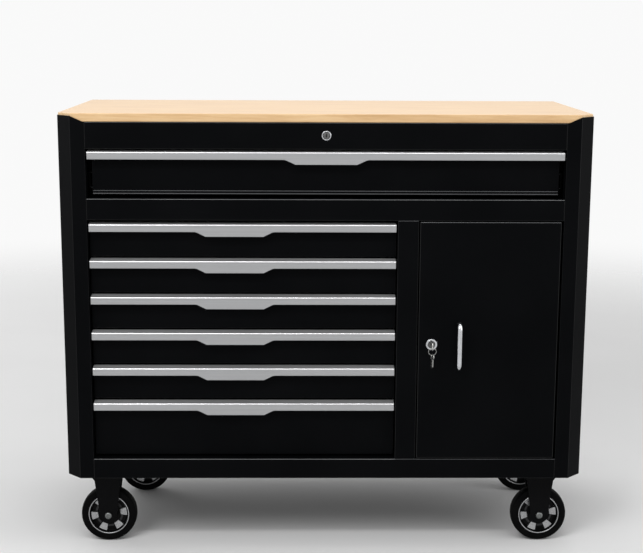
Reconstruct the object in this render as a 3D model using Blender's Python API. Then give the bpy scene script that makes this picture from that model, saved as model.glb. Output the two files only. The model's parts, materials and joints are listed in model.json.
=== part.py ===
"""Mobile tool cart: a steel cabinet with a wood worktop, seven drawers and a locker, on four casters.

Metres, +Z up, front towards -Y. The origin is on the floor, under the middle of the whole cart.
"""

import math

import bmesh
import bpy
from mathutils import Matrix, Vector

# Cabinet
WIDTH = 1.168
DEPTH = 0.500
BODY_HEIGHT = 0.8025
CORNER_CHAMFER = 0.0315
SHEET = 0.0015
THIN_SHEET = 0.0012
GAP = 0.0003
OVERRUN = 0.002
FOLD_ROOM = 0.001

# Corner posts and side panels
POST_FLANGE = 0.031
POST_RETURN = 0.0285
POST_SIDE = 0.030
POST_LIP = 0.0133
SEAM_LAP = 0.020
SEAM_STEP = 0.0025
REAR_FLANGE = 0.022

# Rails and the stile of the front frame
TOP_RAIL_HEIGHT = 0.0573
MID_RAIL_HEIGHT = 0.0462
BOTTOM_RAIL_HEIGHT = 0.0452
TOP_DRAWER_OPENING = 0.109
STILE_LEFT = 0.158
STILE_WIDTH = 0.0455

# Decks, shelf and partition
DECK_FLANGE = 0.015
BASE_FLANGE = 0.020
PARTITION_FLANGE = 0.018
MID_DECK_DROP = 0.006
SHELF_HEIGHT = 0.468
SHELF_FRONT_SETBACK = 0.003
SHELF_REAR_SETBACK = 0.012
SHELF_FLANGE = 0.018

# Worktop
TOP_THICKNESS = 0.0185
TOP_EDGE_ROUND = 0.0012

# Drawers
DRAWER_COUNT = 6
FIRST_HANDLE_BOTTOM_DROP = 0.0258
TOP_HANDLE_DROP = 0.0027
LAST_DRAWER_TALLER = 1.588
LAST_DRAWER_CLEARANCE = 0.0054
TOP_PANEL_HEIGHT = 0.0975
PANEL_CLEARANCE = 0.0035
PANEL_TOP_DROP = 0.001
DRAWER_SIDE_DROP = 0.0165
DRAWER_LENGTH = 0.430
HEM_WIDTH = 0.006
HEM_HEIGHT = 0.004
PANEL_HEM = 0.010
BANK_PANEL_GAP = 0.003

# Drawer slides
SLIDE_SPACE = 0.012
SLIDE_LENGTH = 0.400
SLIDE_SETBACK = 0.045
CHANNEL_TO_PITCH = 0.4445
CHANNEL_DEPTH = 0.0105
RUNNER_DEPTH = 0.0098
RUNNER_CLEARANCE = 0.0006
RUNNER_RISE_TO_PITCH = 0.3457
UPRIGHT_WIDTH = 0.030
UPRIGHT_SETBACK = 0.005
UPRIGHT_SPACING = 0.335

# Extruded drawer handles
HANDLE_DEPTH = 0.020
HANDLE_HEIGHT = 0.020
HANDLE_SLOPE_DROP = 0.005
HANDLE_NOSE = 0.0015
HANDLE_WALL = 0.0016
HANDLE_BACK = 0.018
HANDLE_PROUD = 0.001
HANDLE_SIDE_GAP = 0.004
TAB_DROP = 0.0104
TAB_FLAT = 0.116
TAB_SLOPE = 0.032
TAB_SHIFT = -0.017
TOP_TAB_FLAT = 0.130
TOP_TAB_SLOPE = 0.030

# Locker door
DOOR_LATCH_GAP = 0.003
DOOR_HINGE_GAP = 0.005
DOOR_END_GAP = 0.003
DOOR_THICKNESS = 0.018
DOOR_LIP = 0.012
HINGE_FROM_EDGE = 0.008
HINGE_FROM_FACE = 0.009
HINGE_PIN_RADIUS = 0.003
HINGE_PIN_REACH = 0.006
HINGE_PIN_ROOT = 0.008
PIN_CLEARANCE = 0.0004

# Bow handle on the door
PULL_CENTRES = 0.096
PULL_RADIUS = 0.0058
PULL_PROJECTION = 0.030
PULL_BEND = 0.014
PULL_FROM_EDGE = 0.089

# Locks and keys
LOCK_FROM_EDGE = 0.0295
LOCK_HEIGHT = 0.4815
LOCK_BEZEL_RADIUS = 0.0135
LOCK_BEZEL_DEPTH = 0.003
LOCK_BODY_RADIUS = 0.0095
LOCK_PAST_RAIL = 0.001
LOCK_NUT_RADIUS = 0.0125
LOCK_NUT_DEPTH = 0.004
LOCK_PLUG_RADIUS = 0.007
PLUG_CLEARANCE = 0.0003
DOOR_CAM_LENGTH = 0.036
TOP_CAM_LENGTH = 0.042
CAM_WIDTH = 0.013
CAM_THICKNESS = 0.0025
KEYWAY_WIDTH = 0.0028
KEYWAY_HEIGHT = 0.0086
KEYWAY_DEPTH = 0.022
KEY_THICKNESS = 0.002
KEY_CLEARANCE = 0.0004
KEY_BOW_RADIUS = 0.011
KEY_NECK = 0.004
KEY_HOLE_RADIUS = 0.0032
KEY_HOLE_INSET = 0.0055
TOP_BEZEL_RADIUS = 0.011
TOP_LOCK_RISE = 0.030
RING_RADIUS = 0.0085
RING_WIRE = 0.0009
SPARE_BOW_RADIUS = 0.0065
SPARE_BLADE_WIDTH = 0.006
SPARE_BLADE_LENGTH = 0.019
SPARE_THICKNESS = 0.0018
SPARE_HOLE_RADIUS = 0.0026
SPARE_TURN = math.radians(30)
SPARE_PLAY = 0.0009

# Casters
CASTER_HEIGHT = 0.169
CASTER_FROM_SIDE = 0.0857
SWIVEL_FROM_SIDE = 0.104
CASTER_FROM_FRONT = 0.065
SWIVEL_FROM_BACK = 0.105
SWIVEL_TRAIL = 0.028
PLATE_LENGTH = 0.112
PLATE_WIDTH = 0.086
PLATE_THICKNESS = 0.003
PLATE_CORNER = 0.008
BOLT_SPACING_LONG = 0.094
BOLT_SPACING_WIDE = 0.066
BOLT_HEAD_RADIUS = 0.0064
BOLT_HEAD_HEIGHT = 0.006
LEG_THICKNESS = 0.0028
LEG_INSIDE = 0.0195
LEG_TOP_HALF = 0.0455
LEG_WAIST_HALF = 0.030
LEG_WAIST_DROP = 0.020
LEG_END_RADIUS = 0.020
RACEWAY_RADIUS = 0.030
RACEWAY_DEPTH = 0.009
RACEWAY_GROOVE = 0.003
CROWN_GAP = 0.0005
CROWN_THICKNESS = 0.003
CROWN_HALF = 0.031
KINGPIN_RADIUS = 0.006
KINGPIN_NUT_RADIUS = 0.0095
KINGPIN_NUT_HEIGHT = 0.007

# Wheels
WHEEL_RADIUS = 0.064
TYRE_WIDTH = 0.032
TYRE_INSIDE_RADIUS = 0.0473
TYRE_SHOULDER = 0.006
TYRE_CROWN = 0.0015
SHOULDER_ANGLE = math.radians(45)
RIM_THICKNESS = 0.0034
RIM_WIDTH = 0.031
WEB_THICKNESS = 0.006
SPOKE_COUNT = 6
SPOKE_PHASE = math.radians(8)
SPOKE_WIDTH_OUTER = 0.020
SPOKE_WIDTH_INNER = 0.012
SPOKE_HEIGHT = 0.022
HUB_RADIUS = 0.014
HUB_WIDTH = 0.038
AXLE_RADIUS = 0.006
AXLE_CLEARANCE = 0.0004
AXLE_HEAD_RADIUS = 0.0082
AXLE_HEAD_HEIGHT = 0.005

ROUND_STEPS = 28
SMALL_STEPS = 20
ARC_STEPS = 6
RING_SIDES = 6

# Places worked out from the sizes
HALF_WIDTH = WIDTH / 2
FRONT_REACH = PULL_PROJECTION + PULL_RADIUS
FRONT_Y = FRONT_REACH / 2 - DEPTH / 2
BACK_Y = FRONT_Y + DEPTH
FOOT_Z = CASTER_HEIGHT + GAP
TOP_Z = FOOT_Z + BODY_HEIGHT
FRAME_DEPTH = CORNER_CHAMFER + FOLD_ROOM
RAIL_DEPTH = FRAME_DEPTH - GAP
LOCK_BODY_LENGTH = RAIL_DEPTH + LOCK_PAST_RAIL
INNER_Y = FRONT_Y + FRAME_DEPTH
SEAM_Y = FRONT_Y + CORNER_CHAMFER + POST_SIDE + GAP
WALL_Y = SEAM_Y + SEAM_STEP + SHEET
INNER_BACK_Y = BACK_Y - 2 * (SHEET + GAP)
SIDE_INNER_X = HALF_WIDTH - SHEET - GAP
DECK_X = HALF_WIDTH - 2 * (SHEET + GAP)
OPENING_X = HALF_WIDTH - CORNER_CHAMFER - POST_FLANGE
RAIL_X = OPENING_X - GAP
TOP_RAIL_Z = TOP_Z - TOP_RAIL_HEIGHT
MID_RAIL_TOP_Z = TOP_RAIL_Z - TOP_DRAWER_OPENING
MID_RAIL_Z = MID_RAIL_TOP_Z - MID_RAIL_HEIGHT
BOTTOM_RAIL_TOP_Z = FOOT_Z + BOTTOM_RAIL_HEIGHT
STILE_RIGHT = STILE_LEFT + STILE_WIDTH
PARTITION_X = STILE_LEFT + STILE_WIDTH / 2
MID_DECK_Z = MID_RAIL_TOP_Z - MID_DECK_DROP
FLOOR_Z = FOOT_Z + SHEET
HANDLE_FRONT_Y = FRONT_Y - HANDLE_PROUD
PANEL_Y = HANDLE_FRONT_Y + HANDLE_DEPTH
FIRST_HANDLE_Z = MID_RAIL_Z - FIRST_HANDLE_BOTTOM_DROP + HANDLE_HEIGHT
TOP_HANDLE_Z = TOP_RAIL_Z - TOP_HANDLE_DROP
BANK_HEIGHT = FIRST_HANDLE_Z - BOTTOM_RAIL_TOP_Z - LAST_DRAWER_CLEARANCE
DRAWER_PITCH = BANK_HEIGHT / (DRAWER_COUNT - 1 + LAST_DRAWER_TALLER)
CHANNEL_HEIGHT = DRAWER_PITCH * CHANNEL_TO_PITCH
RUNNER_RISE = DRAWER_PITCH * RUNNER_RISE_TO_PITCH
SLIDE_Y = FRONT_Y + SLIDE_SETBACK
BANK_CENTRE_X = (STILE_LEFT - OPENING_X) / 2
BANK_WIDTH = STILE_LEFT + OPENING_X
DOOR_LEFT = STILE_RIGHT + DOOR_LATCH_GAP
DOOR_RIGHT = OPENING_X - DOOR_HINGE_GAP
DOOR_BOTTOM = BOTTOM_RAIL_TOP_Z + DOOR_END_GAP
DOOR_TOP = MID_RAIL_Z - DOOR_END_GAP
HINGE_X = DOOR_RIGHT - HINGE_FROM_EDGE
HINGE_Y = FRONT_Y + HINGE_FROM_FACE
DOOR_LOCK_X = DOOR_LEFT + LOCK_FROM_EDGE
TOP_LOCK_Z = TOP_RAIL_Z + TOP_LOCK_RISE
CASTER_X = HALF_WIDTH - CASTER_FROM_SIDE
CASTER_Y = FRONT_Y + CASTER_FROM_FRONT
SWIVEL_X = HALF_WIDTH - SWIVEL_FROM_SIDE
SWIVEL_Y = BACK_Y - SWIVEL_FROM_BACK
PLATE_Z = CASTER_HEIGHT - PLATE_THICKNESS
CROWN_TOP = PLATE_Z - RACEWAY_DEPTH - CROWN_GAP
BOW_CENTRE_REACH = LOCK_BEZEL_DEPTH + KEY_NECK + KEY_BOW_RADIUS
KEY_HOLE_REACH = BOW_CENTRE_REACH + KEY_BOW_RADIUS - KEY_HOLE_INSET
KEY_HOLE_SAG = KEY_HOLE_RADIUS - RING_WIRE - GAP


# Shapes

def link(mesh):
    """An object in the scene for a mesh."""
    shape = bpy.data.objects.new(mesh.name, mesh)
    bpy.context.scene.collection.objects.link(shape)
    return shape


def solid(points, faces):
    """A closed mesh with its faces turned out."""
    build = bmesh.new()
    corners = [build.verts.new(point) for point in points]
    for face in faces:
        build.faces.new([corners[index] for index in face])
    bmesh.ops.remove_doubles(build, verts=build.verts, dist=1e-6)
    bmesh.ops.recalc_face_normals(build, faces=build.faces)
    mesh = bpy.data.meshes.new("shape")
    build.to_mesh(mesh)
    build.free()
    return link(mesh)


def extruded(outline, low, high, axis):
    """An outline carried along an axis: (y, z) along X, (x, z) along Y, (x, y) along Z."""
    def point(a, b, along):
        return {"X": (along, a, b), "Y": (a, along, b), "Z": (a, b, along)}[axis]
    count = len(outline)
    points = [point(a, b, low) for a, b in outline] + [point(a, b, high) for a, b in outline]
    faces = [list(range(count)), list(range(count, 2 * count))]
    for i in range(count):
        after = (i + 1) % count
        faces.append([i, after, after + count, i + count])
    return solid(points, faces)


def block(low, high):
    """A box between two corners."""
    outline = [(low[0], low[1]), (high[0], low[1]), (high[0], high[1]), (low[0], high[1])]
    return extruded(outline, low[2], high[2], "Z")


def turned(profile, axis="Z", steps=ROUND_STEPS):
    """A closed (radius, height) profile turned round an axis through the origin."""
    points = []
    faces = []
    count = len(profile)
    for step in range(steps):
        angle = 2 * math.pi * step / steps
        for radius, height in profile:
            points.append((radius * math.cos(angle), radius * math.sin(angle), height))
    for step in range(steps):
        here = step * count
        there = (step + 1) % steps * count
        for i in range(count):
            after = (i + 1) % count
            corners = [here + i, here + after, there + after, there + i]
            if profile[i][0] == 0:
                corners.remove(there + i)
            if profile[after][0] == 0:
                corners.remove(there + after)
            if len(corners) > 2:
                faces.append(corners)
    shape = solid(points, faces)
    if axis == "Y":
        shape.data.transform(Matrix.Rotation(math.radians(90), 4, "X"))
    return shape


def rod(radius, low, high, axis="Z", steps=SMALL_STEPS):
    """A round bar on an axis through the origin."""
    if axis == "Y":
        low, high = -high, -low
    return turned([(0, low), (radius, low), (radius, high), (0, high)], axis, steps)


def moved(shape, x=0, y=0, z=0):
    shape.data.transform(Matrix.Translation((x, y, z)))
    return shape


def mirrored(shape):
    """The same shape on the other side of the middle plane."""
    build = bmesh.new()
    build.from_mesh(shape.data)
    bmesh.ops.scale(build, vec=(-1, 1, 1), verts=build.verts)
    bmesh.ops.reverse_faces(build, faces=build.faces)
    mesh = bpy.data.meshes.new("shape")
    build.to_mesh(mesh)
    build.free()
    return link(mesh)


def combined(body, operation, tools):
    """Body after a Boolean with each tool, which are then removed."""
    for tool in tools:
        step = body.modifiers.new("step", "BOOLEAN")
        step.operation = operation
        step.solver = "EXACT"
        step.object = tool
    graph = bpy.context.evaluated_depsgraph_get()
    mesh = bpy.data.meshes.new_from_object(body.evaluated_get(graph))
    body.modifiers.clear()
    body.data = mesh
    for tool in tools:
        bpy.data.objects.remove(tool)
    return body


def union(body, *tools):
    return combined(body, "UNION", tools)


def cut(body, *tools):
    return combined(body, "DIFFERENCE", tools)


def sheet(line, thickness):
    """The section of a folded sheet: an open line and the same line offset to its left."""
    inner = []
    for i, corner in enumerate(line):
        here = Vector(corner)
        normals = []
        if i:
            run = (here - Vector(line[i - 1])).normalized()
            normals.append(Vector((-run.y, run.x)))
        if i < len(line) - 1:
            run = (Vector(line[i + 1]) - here).normalized()
            normals.append(Vector((-run.y, run.x)))
        mitre = sum(normals, Vector((0, 0))).normalized()
        inner.append(tuple(here + mitre * (thickness / mitre.dot(normals[0]))))
    return list(line) + inner[::-1]


def arc(centre, radius, start, end, steps=ARC_STEPS):
    """Points along an arc, angles in degrees."""
    points = []
    for step in range(steps + 1):
        angle = math.radians(start + (end - start) * step / steps)
        points.append((centre[0] + radius * math.cos(angle), centre[1] + radius * math.sin(angle)))
    return points


def rounded_rectangle(half_x, half_y, radius):
    points = []
    for turn, (side_x, side_y) in enumerate(((1, 1), (-1, 1), (-1, -1), (1, -1))):
        centre = (side_x * (half_x - radius), side_y * (half_y - radius))
        points += arc(centre, radius, 90 * turn, 90 * turn + 90, 3)
    return points


def tray(low, high, wall, opens):
    """A folded pan between two corners, open at its top or its underside."""
    inner_low = [low[0] + wall, low[1] + wall, low[2] + wall]
    inner_high = [high[0] - wall, high[1] - wall, high[2] - wall]
    if opens == "up":
        inner_high[2] = high[2] + OVERRUN
    else:
        inner_low[2] = low[2] - OVERRUN
    return cut(block(low, high), block(inner_low, inner_high))


# Materials and placing

def material(name, colour, metallic, roughness):
    made = bpy.data.materials.new(name)
    made.use_nodes = True
    shader = made.node_tree.nodes["Principled BSDF"]
    shader.inputs["Base Color"].default_value = (*colour, 1)
    shader.inputs["Metallic"].default_value = metallic
    shader.inputs["Roughness"].default_value = roughness
    return made


def pivot(name, place, parent=None):
    """An empty on a joint's axis, which carries the pieces that move."""
    empty = bpy.data.objects.new(name, None)
    bpy.context.scene.collection.objects.link(empty)
    attach(empty, place, parent)
    return empty


def world_place(item):
    place = Vector(item.location)
    while item.parent:
        item = item.parent
        place += item.location
    return place


def attach(item, place, parent):
    item.parent = parent
    start = world_place(parent) if parent else Vector((0, 0, 0))
    item.location = Vector(place) - start


def put(shape, name, surface, place=(0, 0, 0), parent=None, smooth=False):
    """Names a shape, gives it its surface and puts its own origin at a place in the cart."""
    shape.name = name
    shape.data.name = name
    shape.data.materials.clear()
    shape.data.materials.append(surface)
    if smooth:
        shape.data.shade_smooth()
        shape.data.set_sharp_from_angle(angle=math.radians(35))
    attach(shape, place, parent)
    return shape


def again(shape, name, place, parent=None):
    """Another piece with the same mesh."""
    twin = bpy.data.objects.new(name, shape.data)
    bpy.context.scene.collection.objects.link(twin)
    attach(twin, place, parent)
    return twin


# Cabinet

def corner_post():
    """The left post: side flange, chamfer, front flange and return, with its lip sloping down inwards."""
    lip_z = TOP_Z + POST_LIP
    front_corner_x = -HALF_WIDTH + CORNER_CHAMFER
    line = [
        (-HALF_WIDTH, FRONT_Y + CORNER_CHAMFER + POST_SIDE),
        (-HALF_WIDTH, FRONT_Y + CORNER_CHAMFER),
        (front_corner_x, FRONT_Y),
        (-OPENING_X, FRONT_Y),
        (-OPENING_X, FRONT_Y + POST_RETURN),
    ]
    post = extruded(sheet(line, SHEET), FOOT_Z, lip_z, "Z")
    slope = [
        (front_corner_x, lip_z),
        (-OPENING_X - SHEET, TOP_Z),
        (-OPENING_X + OVERRUN, TOP_Z),
        (-OPENING_X + OVERRUN, lip_z + OVERRUN),
        (front_corner_x, lip_z + OVERRUN),
    ]
    return cut(post, extruded(slope, FRONT_Y - OVERRUN, FRONT_Y + FRAME_DEPTH, "Y"))


def side_panel():
    """The left panel, stepped in behind the post and folded in at the back."""
    lap_x = -SIDE_INNER_X
    line = [
        (-HALF_WIDTH + REAR_FLANGE, BACK_Y),
        (-HALF_WIDTH, BACK_Y),
        (-HALF_WIDTH, SEAM_Y + SEAM_STEP),
        (lap_x, SEAM_Y),
        (lap_x, SEAM_Y - SEAM_LAP),
    ]
    panel = extruded(sheet(line, SHEET), FOOT_Z, TOP_Z + POST_LIP, "Z")
    inside_lip = block(
        (-HALF_WIDTH + SHEET, SEAM_Y - SEAM_LAP - OVERRUN, TOP_Z),
        (-HALF_WIDTH + REAR_FLANGE + OVERRUN, BACK_Y + OVERRUN, TOP_Z + POST_LIP + OVERRUN),
    )
    return cut(panel, inside_lip)


def rail(low_z, high_z):
    """A front rail, folded back along its top and its underside."""
    back = FRONT_Y + RAIL_DEPTH
    line = [(back, high_z), (FRONT_Y, high_z), (FRONT_Y, low_z), (back, low_z)]
    return extruded(sheet(line, SHEET), -RAIL_X, RAIL_X, "X")


def hinge_hole():
    hole = rod(HINGE_PIN_RADIUS + PIN_CLEARANCE, -SHEET - OVERRUN, SHEET + OVERRUN)
    return moved(hole, HINGE_X, HINGE_Y)


def stile():
    back = FRONT_Y + RAIL_DEPTH
    line = [(STILE_LEFT, back), (STILE_LEFT, FRONT_Y), (STILE_RIGHT, FRONT_Y), (STILE_RIGHT, back)]
    return extruded(sheet(line, SHEET), BOTTOM_RAIL_TOP_Z + GAP, MID_RAIL_Z - GAP, "Z")


def partition():
    """The wall between the drawers and the locker, folded towards the locker at both ends."""
    front = INNER_Y + SHEET + GAP
    back = INNER_BACK_Y - SHEET - 2 * GAP
    left = PARTITION_X - SHEET / 2
    right = left + PARTITION_FLANGE
    line = [(right, back), (left, back), (left, front), (right, front)]
    top = MID_DECK_Z - SHEET - GAP
    return extruded(sheet(line, SHEET), FLOOR_Z + GAP, top, "Z")


def worktop():
    """The wood slab, with its front corners cut to sit inside the posts."""
    inset = SHEET + GAP
    side = HALF_WIDTH - inset
    front = FRONT_Y + inset
    corner = CORNER_CHAMFER + inset * (math.sqrt(2) - 2)
    outline = [
        (-side, BACK_Y),
        (-side, front + corner),
        (-side + corner, front),
        (side - corner, front),
        (side, front + corner),
        (side, BACK_Y),
    ]
    slab = extruded(outline, TOP_Z + GAP, TOP_Z + GAP + TOP_THICKNESS, "Z")
    edge = slab.modifiers.new("edge", "BEVEL")
    edge.width = TOP_EDGE_ROUND
    edge.segments = 1
    edge.limit_method = "ANGLE"
    edge.angle_limit = math.radians(60)
    return slab


def build_cabinet(paint, wood):
    post = corner_post()
    panel = side_panel()
    put(mirrored(post), "corner_post_right", paint)
    put(post, "corner_post_left", paint)
    put(mirrored(panel), "side_panel_right", paint)
    put(panel, "side_panel_left", paint)

    lock_hole = moved(rod(LOCK_BODY_RADIUS + GAP, -OVERRUN, SHEET + OVERRUN, "Y"), 0, FRONT_Y, TOP_LOCK_Z)
    put(cut(rail(TOP_RAIL_Z, TOP_Z), lock_hole), "top_rail", paint)
    upper_hole = moved(hinge_hole(), 0, 0, MID_RAIL_Z)
    put(cut(rail(MID_RAIL_Z, MID_RAIL_TOP_Z), upper_hole), "mid_rail", paint)
    lower_hole = moved(hinge_hole(), 0, 0, BOTTOM_RAIL_TOP_Z)
    put(cut(rail(FOOT_Z, BOTTOM_RAIL_TOP_Z), lower_hole), "bottom_rail", paint)
    put(stile(), "centre_stile", paint)

    back_low = (-SIDE_INNER_X, BACK_Y - 2 * SHEET - GAP, FOOT_Z)
    back_high = (SIDE_INNER_X, BACK_Y - SHEET - GAP, TOP_Z)
    put(block(back_low, back_high), "back_panel", paint)
    deck_y = (INNER_Y, INNER_BACK_Y - GAP)
    base_top = FLOOR_Z + BASE_FLANGE
    base = tray((-DECK_X, deck_y[0], FOOT_Z), (DECK_X, deck_y[1], base_top), SHEET, "up")
    put(base, "base_pan", paint)
    for name, top in (("mid_deck", MID_DECK_Z), ("top_deck", TOP_Z)):
        low = (-DECK_X, deck_y[0], top - DECK_FLANGE)
        deck = tray(low, (DECK_X, deck_y[1], top), SHEET, "down")
        put(deck, name, paint)
    put(partition(), "centre_partition", paint)

    shelf_low = (PARTITION_X + SHEET / 2 + GAP, WALL_Y + SHELF_FRONT_SETBACK, SHELF_HEIGHT - SHELF_FLANGE)
    shelf_high = (SIDE_INNER_X, INNER_BACK_Y - SHELF_REAR_SETBACK, SHELF_HEIGHT)
    put(tray(shelf_low, shelf_high, SHEET, "down"), "locker_shelf", paint)
    put(worktop(), "wood_top", wood)


# Drawer slides and drawers

def channel(face_x, towards, z):
    """One fixed slide: a channel whose web stands on face_x and whose lips reach towards the drawer."""
    tip = face_x + towards * CHANNEL_DEPTH
    half = CHANNEL_HEIGHT / 2
    line = [(tip, z + half), (face_x, z + half), (face_x, z - half), (tip, z - half)]
    if towards < 0:
        line.reverse()
    return extruded(sheet(line, THIN_SHEET), SLIDE_Y, SLIDE_Y + SLIDE_LENGTH, "Y")


def slide_rack(wall_x, face_x, low_z, high_z, heights):
    """Two folded uprights on a wall, with a channel for each drawer on their faces."""
    towards = 1 if face_x > wall_x else -1
    rack = None
    for setback in (UPRIGHT_SETBACK, UPRIGHT_SETBACK + UPRIGHT_SPACING):
        front = WALL_Y + setback
        back = front + UPRIGHT_WIDTH
        web = face_x + towards * THIN_SHEET / 2
        line = [(wall_x, back), (web, back), (web, front), (wall_x, front)]
        if towards < 0:
            line.reverse()
        upright = extruded(sheet(line[::-1], SHEET), low_z, high_z, "Z")
        rack = union(rack, upright) if rack else upright
    return union(rack, *[channel(face_x, towards, z) for z in heights])


def drawer_box(half_width, half_panel, panel_height):
    """A drawer body: origin at the middle of its panel's foot, with a runner fixed along each side."""
    side_top = panel_height - DRAWER_SIDE_DROP
    low = (-half_width, 0, 0)
    box = block(low, (half_width, DRAWER_LENGTH, side_top))
    panel_top = panel_height - PANEL_TOP_DROP
    box = union(box, block((-half_panel, 0, 0), (half_panel, THIN_SHEET, panel_top)))
    hem_low = (-half_panel, 0, panel_top - THIN_SHEET)
    box = union(box, block(hem_low, (half_panel, PANEL_HEM, panel_top)))
    inner_low = (-half_width + THIN_SHEET, THIN_SHEET, THIN_SHEET)
    inner_high = (half_width - THIN_SHEET, DRAWER_LENGTH - THIN_SHEET, side_top - HEM_HEIGHT)
    mouth_low = (-half_width + HEM_WIDTH, PANEL_HEM, inner_high[2] - OVERRUN)
    mouth_high = (half_width - HEM_WIDTH, DRAWER_LENGTH - HEM_WIDTH, side_top + OVERRUN)
    box = cut(box, block(inner_low, inner_high), block(mouth_low, mouth_high))
    half = CHANNEL_HEIGHT / 2 - THIN_SHEET - RUNNER_CLEARANCE
    runner_y = SLIDE_Y - PANEL_Y
    for side in (-1, 1):
        root = side * (half_width - THIN_SHEET / 2)
        tip = side * (half_width + RUNNER_DEPTH)
        line = [(root, RUNNER_RISE - half), (tip, RUNNER_RISE - half)]
        line += [(tip, RUNNER_RISE + half), (root, RUNNER_RISE + half)]
        if side < 0:
            line.reverse()
        runner = extruded(sheet(line, THIN_SHEET), runner_y, runner_y + SLIDE_LENGTH - OVERRUN, "Y")
        box = union(box, runner)
    return box


def drawer_handle(half_width, tab_x, tab_flat, tab_slope):
    """An extruded pull: sloped top, rounded nose and front face with a dropped tab to grip behind.

    Its origin is at the middle of its top edge, on the drawer's panel.
    """
    front = -HANDLE_DEPTH
    line = [
        (-GAP, -HANDLE_BACK),
        (-GAP, 0),
        (front + HANDLE_NOSE * 2, -HANDLE_SLOPE_DROP + HANDLE_NOSE / 2),
        (front + HANDLE_NOSE / 2, -HANDLE_SLOPE_DROP - HANDLE_NOSE / 2),
        (front, -HANDLE_SLOPE_DROP - HANDLE_NOSE * 2),
        (front, -HANDLE_HEIGHT),
    ]
    pull = extruded(sheet(line, HANDLE_WALL), -half_width, half_width, "X")
    half_flat = tab_flat / 2
    half_top = half_flat + tab_slope
    overlap = HANDLE_HEIGHT - TAB_DROP / 2
    tab = [
        (tab_x - half_top - tab_slope / 2, -overlap),
        (tab_x - half_top, -HANDLE_HEIGHT),
        (tab_x - half_flat, -HANDLE_HEIGHT - TAB_DROP),
        (tab_x + half_flat, -HANDLE_HEIGHT - TAB_DROP),
        (tab_x + half_top, -HANDLE_HEIGHT),
        (tab_x + half_top + tab_slope / 2, -overlap),
    ]
    return union(pull, extruded(tab, front, front + HANDLE_WALL, "Y"))


def drawer_places():
    """The height of each lower handle's top edge and of its panel's foot."""
    places = []
    for i in range(DRAWER_COUNT):
        top = FIRST_HANDLE_Z - i * DRAWER_PITCH
        height = DRAWER_PITCH - PANEL_CLEARANCE
        if i == DRAWER_COUNT - 1:
            height = DRAWER_PITCH * LAST_DRAWER_TALLER
        places.append((top, height))
    return places


def build_drawers(paint, zinc, aluminium):
    places = drawer_places()
    half_bank = BANK_WIDTH / 2 - SLIDE_SPACE
    half_panel = BANK_WIDTH / 2 - BANK_PANEL_GAP
    half_top = OPENING_X - SLIDE_SPACE
    heights = [top - height + RUNNER_RISE for top, height in places]
    low = FLOOR_Z + BASE_FLANGE + GAP
    high = MID_DECK_Z - DECK_FLANGE - GAP
    left = slide_rack(-SIDE_INNER_X, -OPENING_X + GAP, low, high, heights)
    put(left, "slide_rack_left", zinc)
    partition_face = PARTITION_X - SHEET / 2 - GAP
    put(slide_rack(partition_face, STILE_LEFT - GAP, low, high, heights), "slide_rack_right", zinc)
    top_low = MID_DECK_Z + GAP
    top_high = TOP_Z - DECK_FLANGE - GAP
    top_foot = TOP_HANDLE_Z - TOP_PANEL_HEIGHT - PANEL_TOP_DROP
    top_rack = slide_rack(-SIDE_INNER_X, -OPENING_X + GAP, top_low, top_high, [top_foot + RUNNER_RISE])
    put(mirrored(top_rack), "top_slide_right", zinc)
    put(top_rack, "top_slide_left", zinc)

    handle = drawer_handle(BANK_WIDTH / 2 - HANDLE_SIDE_GAP, TAB_SHIFT, TAB_FLAT, TAB_SLOPE)
    box = drawer_box(half_bank, half_panel, places[0][1])
    last = drawer_box(half_bank, half_panel, places[-1][1])
    for i, (top, height) in enumerate(places):
        number = i + 1
        foot = (BANK_CENTRE_X, PANEL_Y, top - height)
        carrier = pivot(f"drawer_{number}_slide", foot)
        shape = box if i < DRAWER_COUNT - 1 else last
        name = f"drawer_{number}_box"
        if i in (0, DRAWER_COUNT - 1):
            put(shape, name, paint, foot, carrier)
        else:
            again(shape, name, foot, carrier)
        name = f"drawer_{number}_handle"
        grip = (BANK_CENTRE_X, PANEL_Y, top)
        if i == 0:
            put(handle, name, aluminium, grip, carrier)
        else:
            again(handle, name, grip, carrier)

    foot = (0, PANEL_Y, top_foot)
    carrier = pivot("top_drawer_slide", foot)
    top_box = drawer_box(half_top, half_top, TOP_PANEL_HEIGHT + PANEL_TOP_DROP)
    put(top_box, "top_drawer_box", paint, foot, carrier)
    pull = drawer_handle(OPENING_X - HANDLE_SIDE_GAP, 0, TOP_TAB_FLAT, TOP_TAB_SLOPE)
    put(pull, "top_drawer_handle", aluminium, (0, PANEL_Y, TOP_HANDLE_Z), carrier)


# Locker door, locks and keys

def door_panel():
    """A folded pan with return lips and a hinge pin at each end, its origin on the hinge axis."""
    left = DOOR_LEFT - HINGE_X
    right = DOOR_RIGHT - HINGE_X
    front = FRONT_Y - HINGE_Y
    back = front + DOOR_THICKNESS
    height = DOOR_TOP - DOOR_BOTTOM
    pan = block((left, front, 0), (right, back, height))
    wall = THIN_SHEET
    hollow = block((left + wall, front + wall, wall), (right - wall, back - wall, height - wall))
    mouth = block(
        (left + DOOR_LIP, back - wall - OVERRUN, DOOR_LIP),
        (right - DOOR_LIP, back + OVERRUN, height - DOOR_LIP),
    )
    hole = moved(rod(LOCK_BODY_RADIUS + GAP, -OVERRUN, wall + OVERRUN, "Y"),
                 DOOR_LOCK_X - HINGE_X, front, LOCK_HEIGHT - DOOR_BOTTOM)
    pan = cut(pan, hollow, mouth, hole)
    reach = DOOR_END_GAP + HINGE_PIN_REACH
    upper = rod(HINGE_PIN_RADIUS, height - HINGE_PIN_ROOT, height + reach)
    lower = rod(HINGE_PIN_RADIUS, -reach, HINGE_PIN_ROOT)
    return union(pan, upper, lower)


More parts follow.
